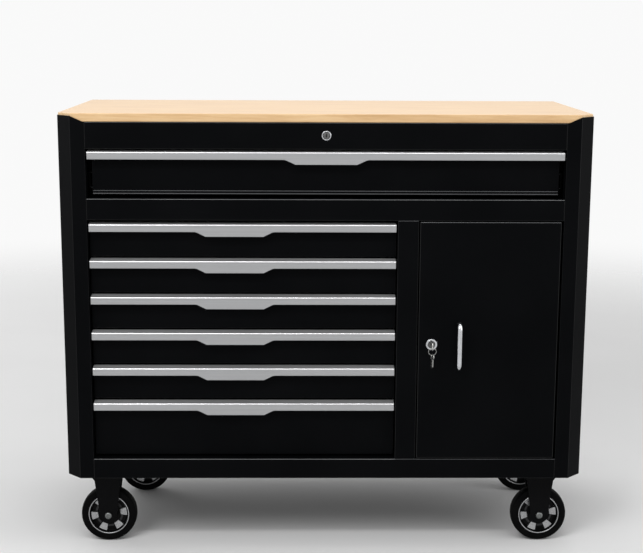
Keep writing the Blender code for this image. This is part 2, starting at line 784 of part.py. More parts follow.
def bow_pull():
    """A bent round bar with its two feet on the door, its origin midway between them."""
    half = PULL_CENTRES / 2
    curve = bpy.data.curves.new("pull", "CURVE")
    curve.dimensions = "3D"
    curve.bevel_depth = PULL_RADIUS
    curve.bevel_resolution = 2
    curve.use_fill_caps = True
    reach = -PULL_PROJECTION
    bend = arc((reach + PULL_BEND, half - PULL_BEND), PULL_BEND, 90, 180)
    upper = [(-GAP, half)] + bend
    lower = [(y, -z) for y, z in reversed(upper)]
    route = upper + lower
    line = curve.splines.new("POLY")
    line.points.add(len(route) - 1)
    for point, (y, z) in zip(line.points, route):
        point.co = (0, y, z, 1)
    shape = bpy.data.objects.new("pull", curve)
    bpy.context.scene.collection.objects.link(shape)
    graph = bpy.context.evaluated_depsgraph_get()
    mesh = bpy.data.meshes.new_from_object(shape.evaluated_get(graph))
    bpy.data.objects.remove(shape)
    build = bmesh.new()
    build.from_mesh(mesh)
    bmesh.ops.remove_doubles(build, verts=build.verts, dist=1e-6)
    bmesh.ops.recalc_face_normals(build, faces=build.faces)
    build.to_mesh(mesh)
    build.free()
    return link(mesh)


def lock_housing(bezel_radius, wall):
    """Bezel, body and nut of a lock, its origin in the face that it is fixed to."""
    bore = LOCK_PLUG_RADIUS + PLUG_CLEARANCE
    chamfer = LOCK_BEZEL_DEPTH / 3
    nut_start = -wall - GAP
    profile = [
        (bore, LOCK_BEZEL_DEPTH),
        (bezel_radius - chamfer, LOCK_BEZEL_DEPTH),
        (bezel_radius, LOCK_BEZEL_DEPTH - chamfer),
        (bezel_radius, GAP),
        (LOCK_BODY_RADIUS, GAP),
        (LOCK_BODY_RADIUS, nut_start),
        (LOCK_NUT_RADIUS, nut_start),
        (LOCK_NUT_RADIUS, nut_start - LOCK_NUT_DEPTH),
        (LOCK_BODY_RADIUS, nut_start - LOCK_NUT_DEPTH),
        (LOCK_BODY_RADIUS, -LOCK_BODY_LENGTH),
        (bore, -LOCK_BODY_LENGTH),
    ]
    return turned(profile, "Y", SMALL_STEPS)


def lock_plug(cam_direction, cam_length):
    """The turning plug with its keyway and, behind the body, its cam."""
    front = -LOCK_BEZEL_DEPTH
    cam_y = LOCK_BODY_LENGTH + PLUG_CLEARANCE
    plug = rod(LOCK_PLUG_RADIUS, front, cam_y + CAM_THICKNESS, "Y")
    half = CAM_WIDTH / 2
    end = cam_length - half
    outline = arc((0, 0), half, 90, 270) + arc((end, 0), half, -90, 90)
    cam = extruded(outline, cam_y, cam_y + CAM_THICKNESS, "Y")
    cam.data.transform(Matrix.Rotation(cam_direction, 4, "Y"))
    keyway = block(
        (-KEYWAY_WIDTH / 2, front - OVERRUN, -KEYWAY_HEIGHT / 2),
        (KEYWAY_WIDTH / 2, front + KEYWAY_DEPTH, KEYWAY_HEIGHT / 2),
    )
    return cut(union(plug, cam), keyway)


def key():
    """The key in the door's lock: round bow with a ring hole, neck and blade, standing upright."""
    centre = -BOW_CENTRE_REACH
    half = KEYWAY_HEIGHT / 2 - KEY_CLEARANCE
    tip = -LOCK_BEZEL_DEPTH + KEYWAY_DEPTH - KEY_CLEARANCE
    shoulder = centre + math.sqrt(KEY_BOW_RADIUS ** 2 - half ** 2)
    outline = arc((centre, 0), KEY_BOW_RADIUS, math.degrees(math.asin(half / KEY_BOW_RADIUS)),
                  360 - math.degrees(math.asin(half / KEY_BOW_RADIUS)), SMALL_STEPS)
    outline += [(shoulder + KEY_NECK, -half), (tip - half, -half), (tip, 0), (tip - half, half)]
    blade = extruded(outline, -KEY_THICKNESS / 2, KEY_THICKNESS / 2, "X")
    hole = rod(KEY_HOLE_RADIUS, -KEY_THICKNESS, KEY_THICKNESS)
    hole.data.transform(Matrix.Rotation(math.radians(90), 4, "Y"))
    return cut(blade, moved(hole, 0, -KEY_HOLE_REACH, 0))


def ring():
    """A wire ring that slides through the key's hole, its origin at its centre."""
    profile = arc((RING_RADIUS, 0), RING_WIRE, 0, 360 - 360 / RING_SIDES, RING_SIDES - 1)
    return turned(profile, "Y", SMALL_STEPS)


def spare_key():
    """A small key on the ring, its origin where the ring passes through."""
    half = SPARE_BLADE_WIDTH / 2
    start = -90 + math.degrees(math.asin(half / SPARE_BOW_RADIUS))
    outline = arc((0, 0), SPARE_BOW_RADIUS, start, 180 - start, SMALL_STEPS)
    reach = -SPARE_BOW_RADIUS - SPARE_BLADE_LENGTH
    outline += [(-half, reach + half), (0, reach), (half, reach + half)]
    shape = extruded(outline, -SPARE_THICKNESS / 2, SPARE_THICKNESS / 2, "X")
    hole = rod(SPARE_HOLE_RADIUS, -SPARE_THICKNESS, SPARE_THICKNESS)
    hole.data.transform(Matrix.Rotation(math.radians(90), 4, "Y"))
    hole_rise = SPARE_BOW_RADIUS - SPARE_HOLE_RADIUS - RING_WIRE
    hang = hole_rise + SPARE_HOLE_RADIUS - RING_WIRE - SPARE_PLAY
    shape = moved(cut(shape, moved(hole, 0, 0, hole_rise)), 0, 0, -hang)
    shape.data.transform(Matrix.Rotation(SPARE_TURN, 4, "Z"))
    return shape


def build_door(paint, chrome, steel):
    hinge = pivot("door_hinge", (HINGE_X, HINGE_Y, DOOR_BOTTOM))
    put(door_panel(), "door_panel", paint, (HINGE_X, HINGE_Y, DOOR_BOTTOM), hinge)
    pull_place = (DOOR_LEFT + PULL_FROM_EDGE, FRONT_Y, LOCK_HEIGHT)
    put(bow_pull(), "door_pull", chrome, pull_place, hinge, smooth=True)
    lock_place = (DOOR_LOCK_X, FRONT_Y, LOCK_HEIGHT)
    housing = lock_housing(LOCK_BEZEL_RADIUS, THIN_SHEET)
    put(housing, "door_lock_housing", chrome, lock_place, hinge, smooth=True)
    turn = pivot("door_lock_turn", lock_place, hinge)
    put(lock_plug(math.radians(90), DOOR_CAM_LENGTH), "door_lock_plug", chrome, lock_place, turn)
    put(key(), "door_key", steel, lock_place, turn)
    ring_place = (DOOR_LOCK_X, FRONT_Y - KEY_HOLE_REACH, LOCK_HEIGHT - KEY_HOLE_SAG - RING_RADIUS)
    swing = pivot("key_ring_swing", ring_place, turn)
    put(ring(), "key_ring", steel, ring_place, swing, smooth=True)
    spare_place = (DOOR_LOCK_X, ring_place[1], ring_place[2] - RING_RADIUS)
    put(spare_key(), "spare_key", steel, spare_place, swing)

    top_place = (0, FRONT_Y, TOP_LOCK_Z)
    put(lock_housing(TOP_BEZEL_RADIUS, SHEET), "top_lock_housing", chrome, top_place, smooth=True)
    top_turn = pivot("top_lock_turn", top_place)
    put(lock_plug(0, TOP_CAM_LENGTH), "top_lock_plug", chrome, top_place, top_turn)


# Casters

def plate_with_bolts():
    """A caster's top plate with its four bolt heads, its origin on the floor under it."""
    outline = rounded_rectangle(PLATE_LENGTH / 2, PLATE_WIDTH / 2, PLATE_CORNER)
    plate = extruded(outline, PLATE_Z, CASTER_HEIGHT, "Z")
    heads = []
    for side_x in (-1, 1):
        for side_y in (-1, 1):
            head = rod(BOLT_HEAD_RADIUS, PLATE_Z - BOLT_HEAD_HEIGHT, PLATE_Z + PLATE_THICKNESS / 2, steps=6)
            heads.append(moved(head, side_x * BOLT_SPACING_LONG / 2, side_y * BOLT_SPACING_WIDE / 2))
    return union(plate, *heads)


def fork_legs(top_half, top_z, axle_x):
    """Two tapered legs, each rounded off round the axle, with the axle's hole."""
    end = arc((axle_x, WHEEL_RADIUS), LEG_END_RADIUS, 8, -188, 10)
    waist_z = top_z - LEG_WAIST_DROP
    outline = [(-top_half, top_z), (top_half, top_z), (axle_x / 2 + LEG_WAIST_HALF, waist_z)]
    outline += end
    outline.append((axle_x / 2 - LEG_WAIST_HALF, waist_z))
    legs = []
    for side in (-1, 1):
        faces = sorted((side * LEG_INSIDE, side * (LEG_INSIDE + LEG_THICKNESS)))
        leg = extruded(outline, faces[0], faces[1], "Y")
        hole = rod(AXLE_RADIUS + AXLE_CLEARANCE, faces[0] - OVERRUN, faces[1] + OVERRUN, "Y")
        legs.append(cut(leg, moved(hole, axle_x, 0, WHEEL_RADIUS)))
    return legs


def rigid_bracket():
    """Plate and legs of a fixed caster, pressed from one sheet."""
    legs = fork_legs(LEG_TOP_HALF, PLATE_Z + PLATE_THICKNESS / 2, 0)
    return union(plate_with_bolts(), *legs)


def swivel_plate():
    """Top plate of a swivel caster, with its grooved raceway, kingpin and nut."""
    low = PLATE_Z - RACEWAY_DEPTH
    nut_top = CROWN_TOP - CROWN_THICKNESS - CROWN_GAP
    profile = [
        (0, PLATE_Z + PLATE_THICKNESS / 2),
        (RACEWAY_RADIUS, PLATE_Z + PLATE_THICKNESS / 2),
        (RACEWAY_RADIUS, PLATE_Z - RACEWAY_GROOVE),
        (RACEWAY_RADIUS - RACEWAY_GROOVE, PLATE_Z - RACEWAY_GROOVE * 3 / 2),
        (RACEWAY_RADIUS, PLATE_Z - RACEWAY_GROOVE * 2),
        (RACEWAY_RADIUS, low),
        (KINGPIN_RADIUS, low),
        (KINGPIN_RADIUS, nut_top),
        (KINGPIN_NUT_RADIUS, nut_top),
        (KINGPIN_NUT_RADIUS, nut_top - KINGPIN_NUT_HEIGHT),
        (0, nut_top - KINGPIN_NUT_HEIGHT),
    ]
    return union(plate_with_bolts(), turned(profile, steps=SMALL_STEPS))


def swivel_fork():
    """The yoke that turns under the raceway and carries the wheel behind the kingpin."""
    outside = LEG_INSIDE + LEG_THICKNESS
    low = CROWN_TOP - CROWN_THICKNESS
    crown = extruded(rounded_rectangle(CROWN_HALF, outside, PLATE_CORNER / 4), low, CROWN_TOP, "Z")
    hole = rod(KINGPIN_RADIUS + AXLE_CLEARANCE, low - OVERRUN, CROWN_TOP + OVERRUN)
    legs = fork_legs(CROWN_HALF - PLATE_CORNER / 4, low + CROWN_THICKNESS / 2, SWIVEL_TRAIL)
    return union(cut(crown, hole), *legs)


def wheel_core():
    """Rim, web, six raised spokes and hub, turned about the axle."""
    bore = AXLE_RADIUS + AXLE_CLEARANCE
    rim_outer = TYRE_INSIDE_RADIUS - GAP
    rim_inner = rim_outer - RIM_THICKNESS
    half_rim = RIM_WIDTH / 2
    half_web = WEB_THICKNESS / 2
    half_hub = HUB_WIDTH / 2
    profile = [
        (bore, -half_hub), (HUB_RADIUS, -half_hub), (HUB_RADIUS, -half_web), (rim_inner, -half_web),
        (rim_inner, -half_rim), (rim_outer, -half_rim), (rim_outer, half_rim), (rim_inner, half_rim),
        (rim_inner, half_web), (HUB_RADIUS, half_web), (HUB_RADIUS, half_hub), (bore, half_hub),
    ]
    core = turned(profile, "Y")
    spokes = []
    for i in range(SPOKE_COUNT):
        outer = rim_inner + RIM_THICKNESS / 2
        inner = HUB_RADIUS - RIM_THICKNESS / 2
        outline = [
            (inner, -SPOKE_WIDTH_INNER / 2), (outer, -SPOKE_WIDTH_OUTER / 2),
            (outer, SPOKE_WIDTH_OUTER / 2), (inner, SPOKE_WIDTH_INNER / 2),
        ]
        spoke = extruded(outline, -SPOKE_HEIGHT / 2, SPOKE_HEIGHT / 2, "Y")
        turn = -SPOKE_PHASE - 2 * math.pi * i / SPOKE_COUNT
        spoke.data.transform(Matrix.Rotation(turn, 4, "Y"))
        spokes.append(spoke)
    return union(core, *spokes)


def tyre():
    """A rubber tread with rounded shoulders and a slight crown."""
    half = TYRE_WIDTH / 2
    shoulder = WHEEL_RADIUS - TYRE_SHOULDER
    edge = half - TYRE_SHOULDER * (1 - math.cos(SHOULDER_ANGLE))
    corner = WHEEL_RADIUS - TYRE_SHOULDER * (1 - math.sin(SHOULDER_ANGLE)) - TYRE_CROWN / 2
    flank = half - TYRE_SHOULDER
    crown = WHEEL_RADIUS - TYRE_CROWN / 2
    profile = [
        (TYRE_INSIDE_RADIUS, -half), (shoulder, -half), (corner, -edge), (crown, -flank),
        (WHEEL_RADIUS, 0), (crown, flank), (corner, edge), (shoulder, half), (TYRE_INSIDE_RADIUS, half),
    ]
    return turned(profile, "Y")


def axle():
    """A bolt through both legs, with a low round head in front and its nut behind."""
    outside = LEG_INSIDE + LEG_THICKNESS + GAP
    tip = outside + AXLE_HEAD_HEIGHT
    dome = AXLE_HEAD_HEIGHT / 3
    profile = [
        (0, -tip), (AXLE_HEAD_RADIUS, -tip), (AXLE_HEAD_RADIUS, -outside), (AXLE_RADIUS, -outside),
        (AXLE_RADIUS, outside), (AXLE_HEAD_RADIUS, outside), (AXLE_HEAD_RADIUS, tip - dome),
        (AXLE_HEAD_RADIUS - dome, tip), (0, tip),
    ]
    return turned(profile, "Y", SMALL_STEPS)


def build_casters(black_steel, zinc, rubber, silver):
    core = put(wheel_core(), "wheel_core_front_left", silver, smooth=True)
    tread = put(tyre(), "tyre_front_left", rubber, smooth=True)
    bolt = put(axle(), "axle_front_left", zinc, smooth=True)
    bracket = put(rigid_bracket(), "caster_bracket_front_left", black_steel)
    plate = put(swivel_plate(), "swivel_plate_rear_left", black_steel)
    fork = put(swivel_fork(), "caster_fork_rear_left", black_steel)
    for side, word in ((-1, "left"), (1, "right")):
        place = (side * CASTER_X, CASTER_Y, 0)
        hub = (place[0], place[1], WHEEL_RADIUS)
        spin = pivot(f"wheel_spin_front_{word}", hub)
        rear_place = (side * SWIVEL_X, SWIVEL_Y, 0)
        rear_hub = (rear_place[0] + SWIVEL_TRAIL, rear_place[1], WHEEL_RADIUS)
        swivel = pivot(f"swivel_rear_{word}", rear_place)
        rear_spin = pivot(f"wheel_spin_rear_{word}", rear_hub, swivel)
        if side < 0:
            attach(bracket, place, None)
            attach(bolt, hub, None)
            attach(core, hub, spin)
            attach(tread, hub, spin)
            attach(plate, rear_place, None)
            attach(fork, rear_place, swivel)
        else:
            again(bracket, f"caster_bracket_front_{word}", place)
            again(bolt, f"axle_front_{word}", hub)
            again(core, f"wheel_core_front_{word}", hub, spin)
            again(tread, f"tyre_front_{word}", hub, spin)
            again(plate, f"swivel_plate_rear_{word}", rear_place)
            again(fork, f"caster_fork_rear_{word}", rear_place, swivel)
        again(bolt, f"axle_rear_{word}", rear_hub, swivel)
        again(core, f"wheel_core_rear_{word}", rear_hub, rear_spin)
        again(tread, f"tyre_rear_{word}", rear_hub, rear_spin)


def main():
    for item in list(bpy.data.objects):
        bpy.data.objects.remove(item, do_unlink=True)
    paint = material("black_paint", (0.018, 0.018, 0.020), 0.0, 0.45)
    wood = material("beech", (0.80, 0.62, 0.38), 0.0, 0.50)
    aluminium = material("satin_aluminium", (0.62, 0.63, 0.65), 1.0, 0.35)
    chrome = material("chrome", (0.80, 0.80, 0.82), 1.0, 0.12)
    steel = material("key_steel", (0.66, 0.65, 0.62), 1.0, 0.30)
    zinc = material("zinc_plate", (0.60, 0.61, 0.62), 1.0, 0.40)
    rubber = material("tyre_rubber", (0.020, 0.020, 0.020), 0.0, 0.70)
    silver = material("silver_wheel", (0.55, 0.56, 0.57), 0.6, 0.40)
    black_steel = material("black_steel", (0.025, 0.025, 0.027), 0.3, 0.40)
    build_cabinet(paint, wood)
    build_drawers(paint, zinc, aluminium)
    build_door(paint, chrome, steel)
    build_casters(black_steel, zinc, rubber, silver)


main()
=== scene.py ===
"""Looks of a mobile tool cart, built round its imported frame.

Metres, +Z up, front towards -Y.
"""

import json
import math

import bmesh
import bpy
from mathutils import Matrix, Vector


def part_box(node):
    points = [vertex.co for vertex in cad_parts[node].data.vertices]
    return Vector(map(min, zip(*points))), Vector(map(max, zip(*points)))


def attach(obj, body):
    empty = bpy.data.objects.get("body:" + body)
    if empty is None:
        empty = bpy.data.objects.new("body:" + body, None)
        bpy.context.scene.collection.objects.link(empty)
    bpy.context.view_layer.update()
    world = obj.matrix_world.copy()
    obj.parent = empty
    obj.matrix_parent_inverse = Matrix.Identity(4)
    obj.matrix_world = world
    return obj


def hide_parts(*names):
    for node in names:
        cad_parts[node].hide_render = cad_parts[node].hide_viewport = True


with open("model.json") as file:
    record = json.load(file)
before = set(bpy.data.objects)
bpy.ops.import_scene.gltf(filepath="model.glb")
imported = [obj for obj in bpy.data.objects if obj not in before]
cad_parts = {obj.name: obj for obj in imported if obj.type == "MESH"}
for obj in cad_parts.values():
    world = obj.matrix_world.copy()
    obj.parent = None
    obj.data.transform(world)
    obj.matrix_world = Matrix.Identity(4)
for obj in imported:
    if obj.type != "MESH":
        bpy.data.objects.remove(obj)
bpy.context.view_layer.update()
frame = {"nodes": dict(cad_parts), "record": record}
NODES = frame["nodes"]
BODY_OF = {node: body for body, nodes in frame["record"]["behaviour"]["bodies"].items() for node in nodes}
SLOT_OF = {row["node"]: row["material_slot"] for row in frame["record"]["subparts"]}

# Meshes
SHEET_WELD = 1e-5
LATHE_WELD = 1e-7
FLAT_ANGLE = math.radians(0.6)
SMOOTH_ANGLE = math.radians(33)
EDGE_STEPS = 2
FINE_STEPS = 96
SMALL_STEPS = 40

# How wide the edges of small parts are rounded
EASE = {
    "plug": 0.0003, "door_key": 0.00025, "spare_key": 0.0002,
    "plate": 0.0006, "washer": 0.0002, "leg": 0.0007, "swivel_plate": 0.0004, "fork": 0.0005,
    "nut": 0.0007, "spoke": 0.0008, "ledge": 0.0006,
}

# Sheet metal
FOLD_RADIUS = 0.0021
SMALL_FOLD_RADIUS = 0.0014
LARGE_FOLDS = ("corner", "side", "top_rail", "mid_rail", "bottom", "centre_stile")
FOLD_ANGLE = math.radians(25)
FOLD_STEPS = 4
RAW_EDGE = 0.00035
RAW_ANGLE = math.radians(50)
THIN_STRIP = 0.0024
RIM_TILT = 0.15

# Material numbers: on a painted skin, on the lip, on a handle and on a wheel's trim
FOLD, RIM, HIGHLIT_RIM = 1, 2, 3
LIP_RIM = 1
NOSE, SLOPE = 1, 2
SHADED_LEDGE = 1

# Lip of the top drawer's panel
LIP_INSET = 0.0108
LIP_PROUD = 0.0009
LIP_SLOPE = 0.0016
LIP_SEAT = 0.0003
LIP_STEPS = (0.0078, 0.0017)

# Wood
WOOD_EDGE = 0.0005
STAVE_WIDTH = 0.043
STAVE_OFFSET = (3.1, 7.3, 1.7)

# Drawer handles
HANDLE_WALL = 0.0016
HANDLE_HEIGHT = 0.020
HANDLE_BACK = 0.018
HANDLE_SLOPE_DROP = 0.0046
HANDLE_NOSE = 0.0026
HANDLE_EDGE = 0.0006
HANDLE_CHAMFER = 0.0003
HANDLE_END = 0.0008
HANDLE_TOP_BAND = 0.002
NOSE_RISE = 0.3
NOSE_SINK = 0.55
BANK_TAB = {"shift": -0.0185, "flat": 0.127, "slope": 0.0255}
TOP_TAB = {"shift": 0.0, "flat": 0.134, "slope": 0.0275}
TAB_STATIONS = 14
TAB_EASE = 0.35
NOSE_TILT = 0.25

# Locks, keys and pull
DOOR_BEZEL_RADIUS = 0.0126
TOP_BEZEL_RADIUS = 0.0104
BEZEL_ROUND = 0.0012
BEZEL_DEPTH = 0.0027
LOCK_BORE = 0.0073
LOCK_BARREL = 0.0095
LOCK_BARREL_START = 0.0029
LOCK_NUT = 0.0125
LOCK_NUT_DEPTHS = (0.0050, 0.0085)
RING_WIRE = 0.00048
RING_MARGIN = 0.0009
RING_TURNS = 1.9
RING_START = math.radians(30)
RING_RISE = 0.0004
RING_STEPS = 96
PULL_EXTRA = 0.0024
PULL_BEND = 0.013
PULL_FOOT = 0.004

# Casters
WHEEL_RADIUS = 0.064
CASTER_HEIGHT = 0.169
PLATE_THICKNESS = 0.003
PLATE_SIZE = (0.112, 0.086)
PLATE_CORNER = 0.008
BOLT_SPREAD = (0.047, 0.033)
BOLT_RADIUS = 0.0062
BOLT_HEAD = 0.0050
BOLT_SEAT = 0.0010
WASHER_RADIUS = 0.0078
WASHER_THICKNESS = 0.0012
LEG_INSIDE = 0.0195
LEG_THICKNESS = 0.0028
LEG_END_RADIUS = 0.020
LEG_TOP_HALF = 0.0455
LEG_WAIST_HALF = 0.030
LEG_WAIST_DROP = 0.020
CUT_EXTRA = 0.002

# Axle bolts
AXLE_BORE = 0.0064
AXLE_SHANK = 0.0060
AXLE_HEAD = 0.0082
AXLE_HEAD_ROUND = 0.0036
AXLE_RECESS = [(0.0, 0.0012), (0.0030, 0.0012), (0.0032, 0.0002), (0.0040, 0.0)]
AXLE_NUT = 0.0080
AXLE_GAP = 0.0003

# Wheels: profiles as (radius, distance along the axle)
TREAD_HALF = 0.016
TREAD = [(0.0473, -TREAD_HALF + 0.0006), (0.0482, -TREAD_HALF), (0.0500, -TREAD_HALF),
         (0.0506, -TREAD_HALF + 0.0005), (0.0512, -TREAD_HALF), (0.0560, -TREAD_HALF + 0.0002)]
TREAD += [(0.0578 + 0.0052 * math.sin(a), -TREAD_HALF + 0.0054 - 0.0052 * math.cos(a))
          for a in (math.radians(11.25 * k) for k in range(9))]
TREAD += [(0.0638, -TREAD_HALF / 3), (0.0640, 0.0)]
CORE = [(AXLE_BORE, -0.0190), (0.0120, -0.0190), (0.0130, -0.0180), (0.0140, -0.0060),
        (0.0165, -0.0034), (0.0400, -0.0034), (0.0428, -0.0060), (0.0434, -0.0148),
        (0.0440, -0.0152), (0.0466, -0.0152), (0.0470, -0.0148)]
RIM_RING = [(0.0447, 0.0150), (0.0447, 0.0156), (0.0451, 0.0159),
            (0.0463, 0.0159), (0.0467, 0.0156), (0.0467, 0.0150)]
SPOKE = [(0.0255, -0.0064), (0.0405, -0.0098), (0.0412, -0.0050), (0.0414, 0.0),
         (0.0412, 0.0050), (0.0405, 0.0098), (0.0255, 0.0064)]
SPOKE_HALF = 0.0105
SPOKE_FOOT = 0.030
SPOKE_TAPER = 0.80
SPOKE_PHASE = math.radians(8)
SPOKE_COUNT = 6
LEDGE_INNER = 0.0275
LEDGE_OUTER = 0.0325
LEDGE_SPREAD = 13
LEDGE_HALF = 0.0062

# Camera, floor and sky
SENSOR = 36
LENS = 74.0
CAMERA = (-0.050, -3.088, 1.1862)
PITCH = math.radians(10.923)
YAW = math.radians(0.815)
ROLL = math.radians(0.256)
FLOOR_HALF = 12
FLOOR_GREYS = (0.83, 0.86)
FLOOR_FADE = (1.6, 4.5)
SKY_GREY, SKY_STRENGTH = 0.95, 1.0
AMBIENT_GREY, AMBIENT_STRENGTH = 1, 0.42

# Lamps: place, target, size and watts
LAMPS = {
    "key": ((-1.6, -2.6, 2.9), (0, 0, 0.6), (1.6, 1.6), 47),
    "strip": ((0.0, -1.9, 2.7), (0, 0, 0.5), (2.0, 0.22), 16),
    "top": ((0.2, 0.3, 3.2), (0, 0, 0.9), (2.4, 1.4), 25),
    "right": ((2.8, -1.2, 1.8), (0, 0, 0.6), (2.2, 2.6), 28),
    "back": ((-2.4, 1.8, 1.9), (0, 0, 0.7), (2.4, 2.8), 18),
}


# Meshes

def link(name, data):
    made = bpy.data.objects.new(name, data)
    bpy.context.scene.collection.objects.link(made)
    return made


def mesh_of(build, name):
    mesh = bpy.data.meshes.new(name)
    build.to_mesh(mesh)
    build.free()
    return mesh


def walls(build, rings):
    """Quads between each ring of points and the next."""
    for here, there in zip(rings, rings[1:]):
        for i in range(len(here)):
            after = (i + 1) % len(here)
            build.faces.new([here[i], here[after], there[after], there[i]])


def prism(outline, low, high, axis):
    """A closed outline carried along an axis: (y, z) along X, (x, z) along Y, (x, y) along Z."""
    def point(a, b, along):
        return {"X": (along, a, b), "Y": (a, along, b), "Z": (a, b, along)}[axis]
    build = bmesh.new()
    ends = [[build.verts.new(point(a, b, along)) for a, b in outline] for along in (low, high)]
    for end in ends:
        build.faces.new(end)
    walls(build, ends)
    bmesh.ops.recalc_face_normals(build, faces=build.faces)
    return build


def lathe(profile, steps=FINE_STEPS, axis="Y"):
    """A closed (radius, height) profile turned round Z, or round Y with its heights towards the front."""
    build = bmesh.new()
    rings = []
    for step in range(steps):
        angle = 2 * math.pi * step / steps
        rings.append([build.verts.new((radius * math.cos(angle), radius * math.sin(angle), height))
                      for radius, height in profile])
    walls(build, rings + rings[:1])
    bmesh.ops.remove_doubles(build, verts=build.verts, dist=LATHE_WELD)
    bmesh.ops.recalc_face_normals(build, faces=build.faces)
    if axis == "Y":
        turned(build, math.radians(90), "X")
    return build


def tube(path, radius, sides):
    """A round bar along a path of points, with flat ends."""
    build = bmesh.new()
    path = [Vector(p) for p in path]
    last = len(path) - 1
    rings = []
    side = None
    for i, here in enumerate(path):
        along = (path[min(i + 1, last)] - path[max(i - 1, 0)]).normalized()
        if side is None:
            side = along.orthogonal().normalized()
        side = (side - along * side.dot(along)).normalized()
        up = along.cross(side)
        rings.append([build.verts.new(here + radius * (math.cos(t) * side + math.sin(t) * up))
                      for t in (2 * math.pi * k / sides for k in range(sides))])
    walls(build, rings)
    build.faces.new(rings[0])
    build.faces.new(rings[-1])
    bmesh.ops.recalc_face_normals(build, faces=build.faces)
    return build


def arc(centre, radius, start, end, steps=6):
    """Points along an arc, angles in degrees."""
    angles = [math.radians(start + (end - start) * step / steps) for step in range(steps + 1)]
    return [(centre[0] + radius * math.cos(a), centre[1] + radius * math.sin(a)) for a in angles]


def rounded_rectangle(half_x, half_y, radius):
    points = []
    for turn, (side_x, side_y) in enumerate(((1, 1), (-1, 1), (-1, -1), (1, -1))):
        centre = (side_x * (half_x - radius), side_y * (half_y - radius))
        points += arc(centre, radius, 90 * turn, 90 * turn + 90)
    return points


def hexagon(radius, phase=0):
    """The corners of a hexagon, the first one at an angle in degrees."""
    angles = [math.radians(60 * k + phase) for k in range(6)]
    return [(radius * math.cos(a), radius * math.sin(a)) for a in angles]


def rounded(build, edges, width, steps, material=0):
    """Rounds some edges and gives the new faces a material number."""
    bmesh.ops.bevel(build, geom=edges, offset=width, offset_type="OFFSET", segments=steps,
                    profile=0.5, affect="EDGES", clamp_overlap=True, material=material)


def bevelled(build, width, angle=40):
    """Rounds every edge that turns by more than an angle in degrees."""
    edges = [e for e in build.edges if e.is_manifold and e.calc_face_angle(0) > math.radians(angle)]
    rounded(build, edges, width, EDGE_STEPS)
    return build


def shifted(build, x=0, y=0, z=0):
    bmesh.ops.translate(build, verts=build.verts, vec=(x, y, z))
    return build


def turned(build, angle, axis):
    bmesh.ops.rotate(build, verts=build.verts, matrix=Matrix.Rotation(angle, 3, axis))
    return build


def gathered(*builds):
    """Several meshes in one."""
    whole = bmesh.new()
    for build in builds:
        mesh = mesh_of(build, "part")
        whole.from_mesh(mesh)
        bpy.data.meshes.remove(mesh)
    return whole


def cut(base, tool):
    """The first mesh without the room that the second takes."""
    body = link("base", mesh_of(base, "base"))
    helper = link("tool", mesh_of(tool, "tool"))
    step = body.modifiers.new("step", "BOOLEAN")
    step.operation = "DIFFERENCE"
    step.solver = "EXACT"
    step.object = helper
    made = bmesh.new()
    made.from_object(body, bpy.context.evaluated_depsgraph_get())
    for item in (body, helper):
        mesh = item.data
        bpy.data.objects.remove(item)
        bpy.data.meshes.remove(mesh)
    return made


def piece(build, name, body, surface, slot, *nodes, more=()):
    """Puts a mesh in the scene as a piece that rides on a body and stands for some nodes."""
    made = link(name, mesh_of(build, name))
    for material in (surface, *more):
        made.data.materials.append(material)
    made.data.shade_smooth()
    made.data.set_sharp_from_angle(angle=SMOOTH_ANGLE)
    normals = made.modifiers.new("normals", "WEIGHTED_NORMAL")
    normals.keep_sharp = True
    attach(made, body)
    if nodes:
        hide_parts(*nodes)


def flat_faces(node):
    """A node's mesh with its triangles joined into flat faces."""
    build = bmesh.new()
    build.from_mesh(NODES[node].data)
    bmesh.ops.remove_doubles(build, verts=build.verts, dist=SHEET_WELD)
    bmesh.ops.dissolve_limit(build, angle_limit=FLAT_ANGLE, verts=build.verts, edges=build.edges)
    return build


def reach(face, edge):
    """How far a face extends from one of its edges."""
    start = edge.verts[0].co
    along = (edge.verts[1].co - start).normalized()
    return max((v.co - start - along * (v.co - start).dot(along)).length for v in face.verts)


def on_thin_strip(edge):
    """Whether one of the faces at an edge is only as wide as the sheet is thick."""
    return min(reach(face, edge) for face in edge.link_faces) < THIN_STRIP


def folded(node, fold):
    """A sheet-metal node with its outer folds rounded and its raw edges eased."""
    build = flat_faces(node)
    folds = [e for e in build.edges if e.is_manifold and e.calc_face_angle(0) >= FOLD_ANGLE
             and not on_thin_strip(e) and e.is_convex and e.calc_length() > 4 * fold]
    rounded(build, folds, fold, FOLD_STEPS, FOLD)
    raws = [e for e in build.edges if e.is_manifold and e.is_convex and e.calc_face_angle(0) > RAW_ANGLE
            and e.calc_length() > 2 * RAW_EDGE and on_thin_strip(e)]
    rounded(build, raws, RAW_EDGE, EDGE_STEPS, FOLD)
    build.normal_update()
    # Upward-facing fold faces take a lighter coat: a painted highlight along the rims.
    for face in build.faces:
        if face.material_index == FOLD and face.normal.z > RIM_TILT and abs(face.normal.x) < RIM_TILT:
            face.material_index = RIM
    return build


# Materials

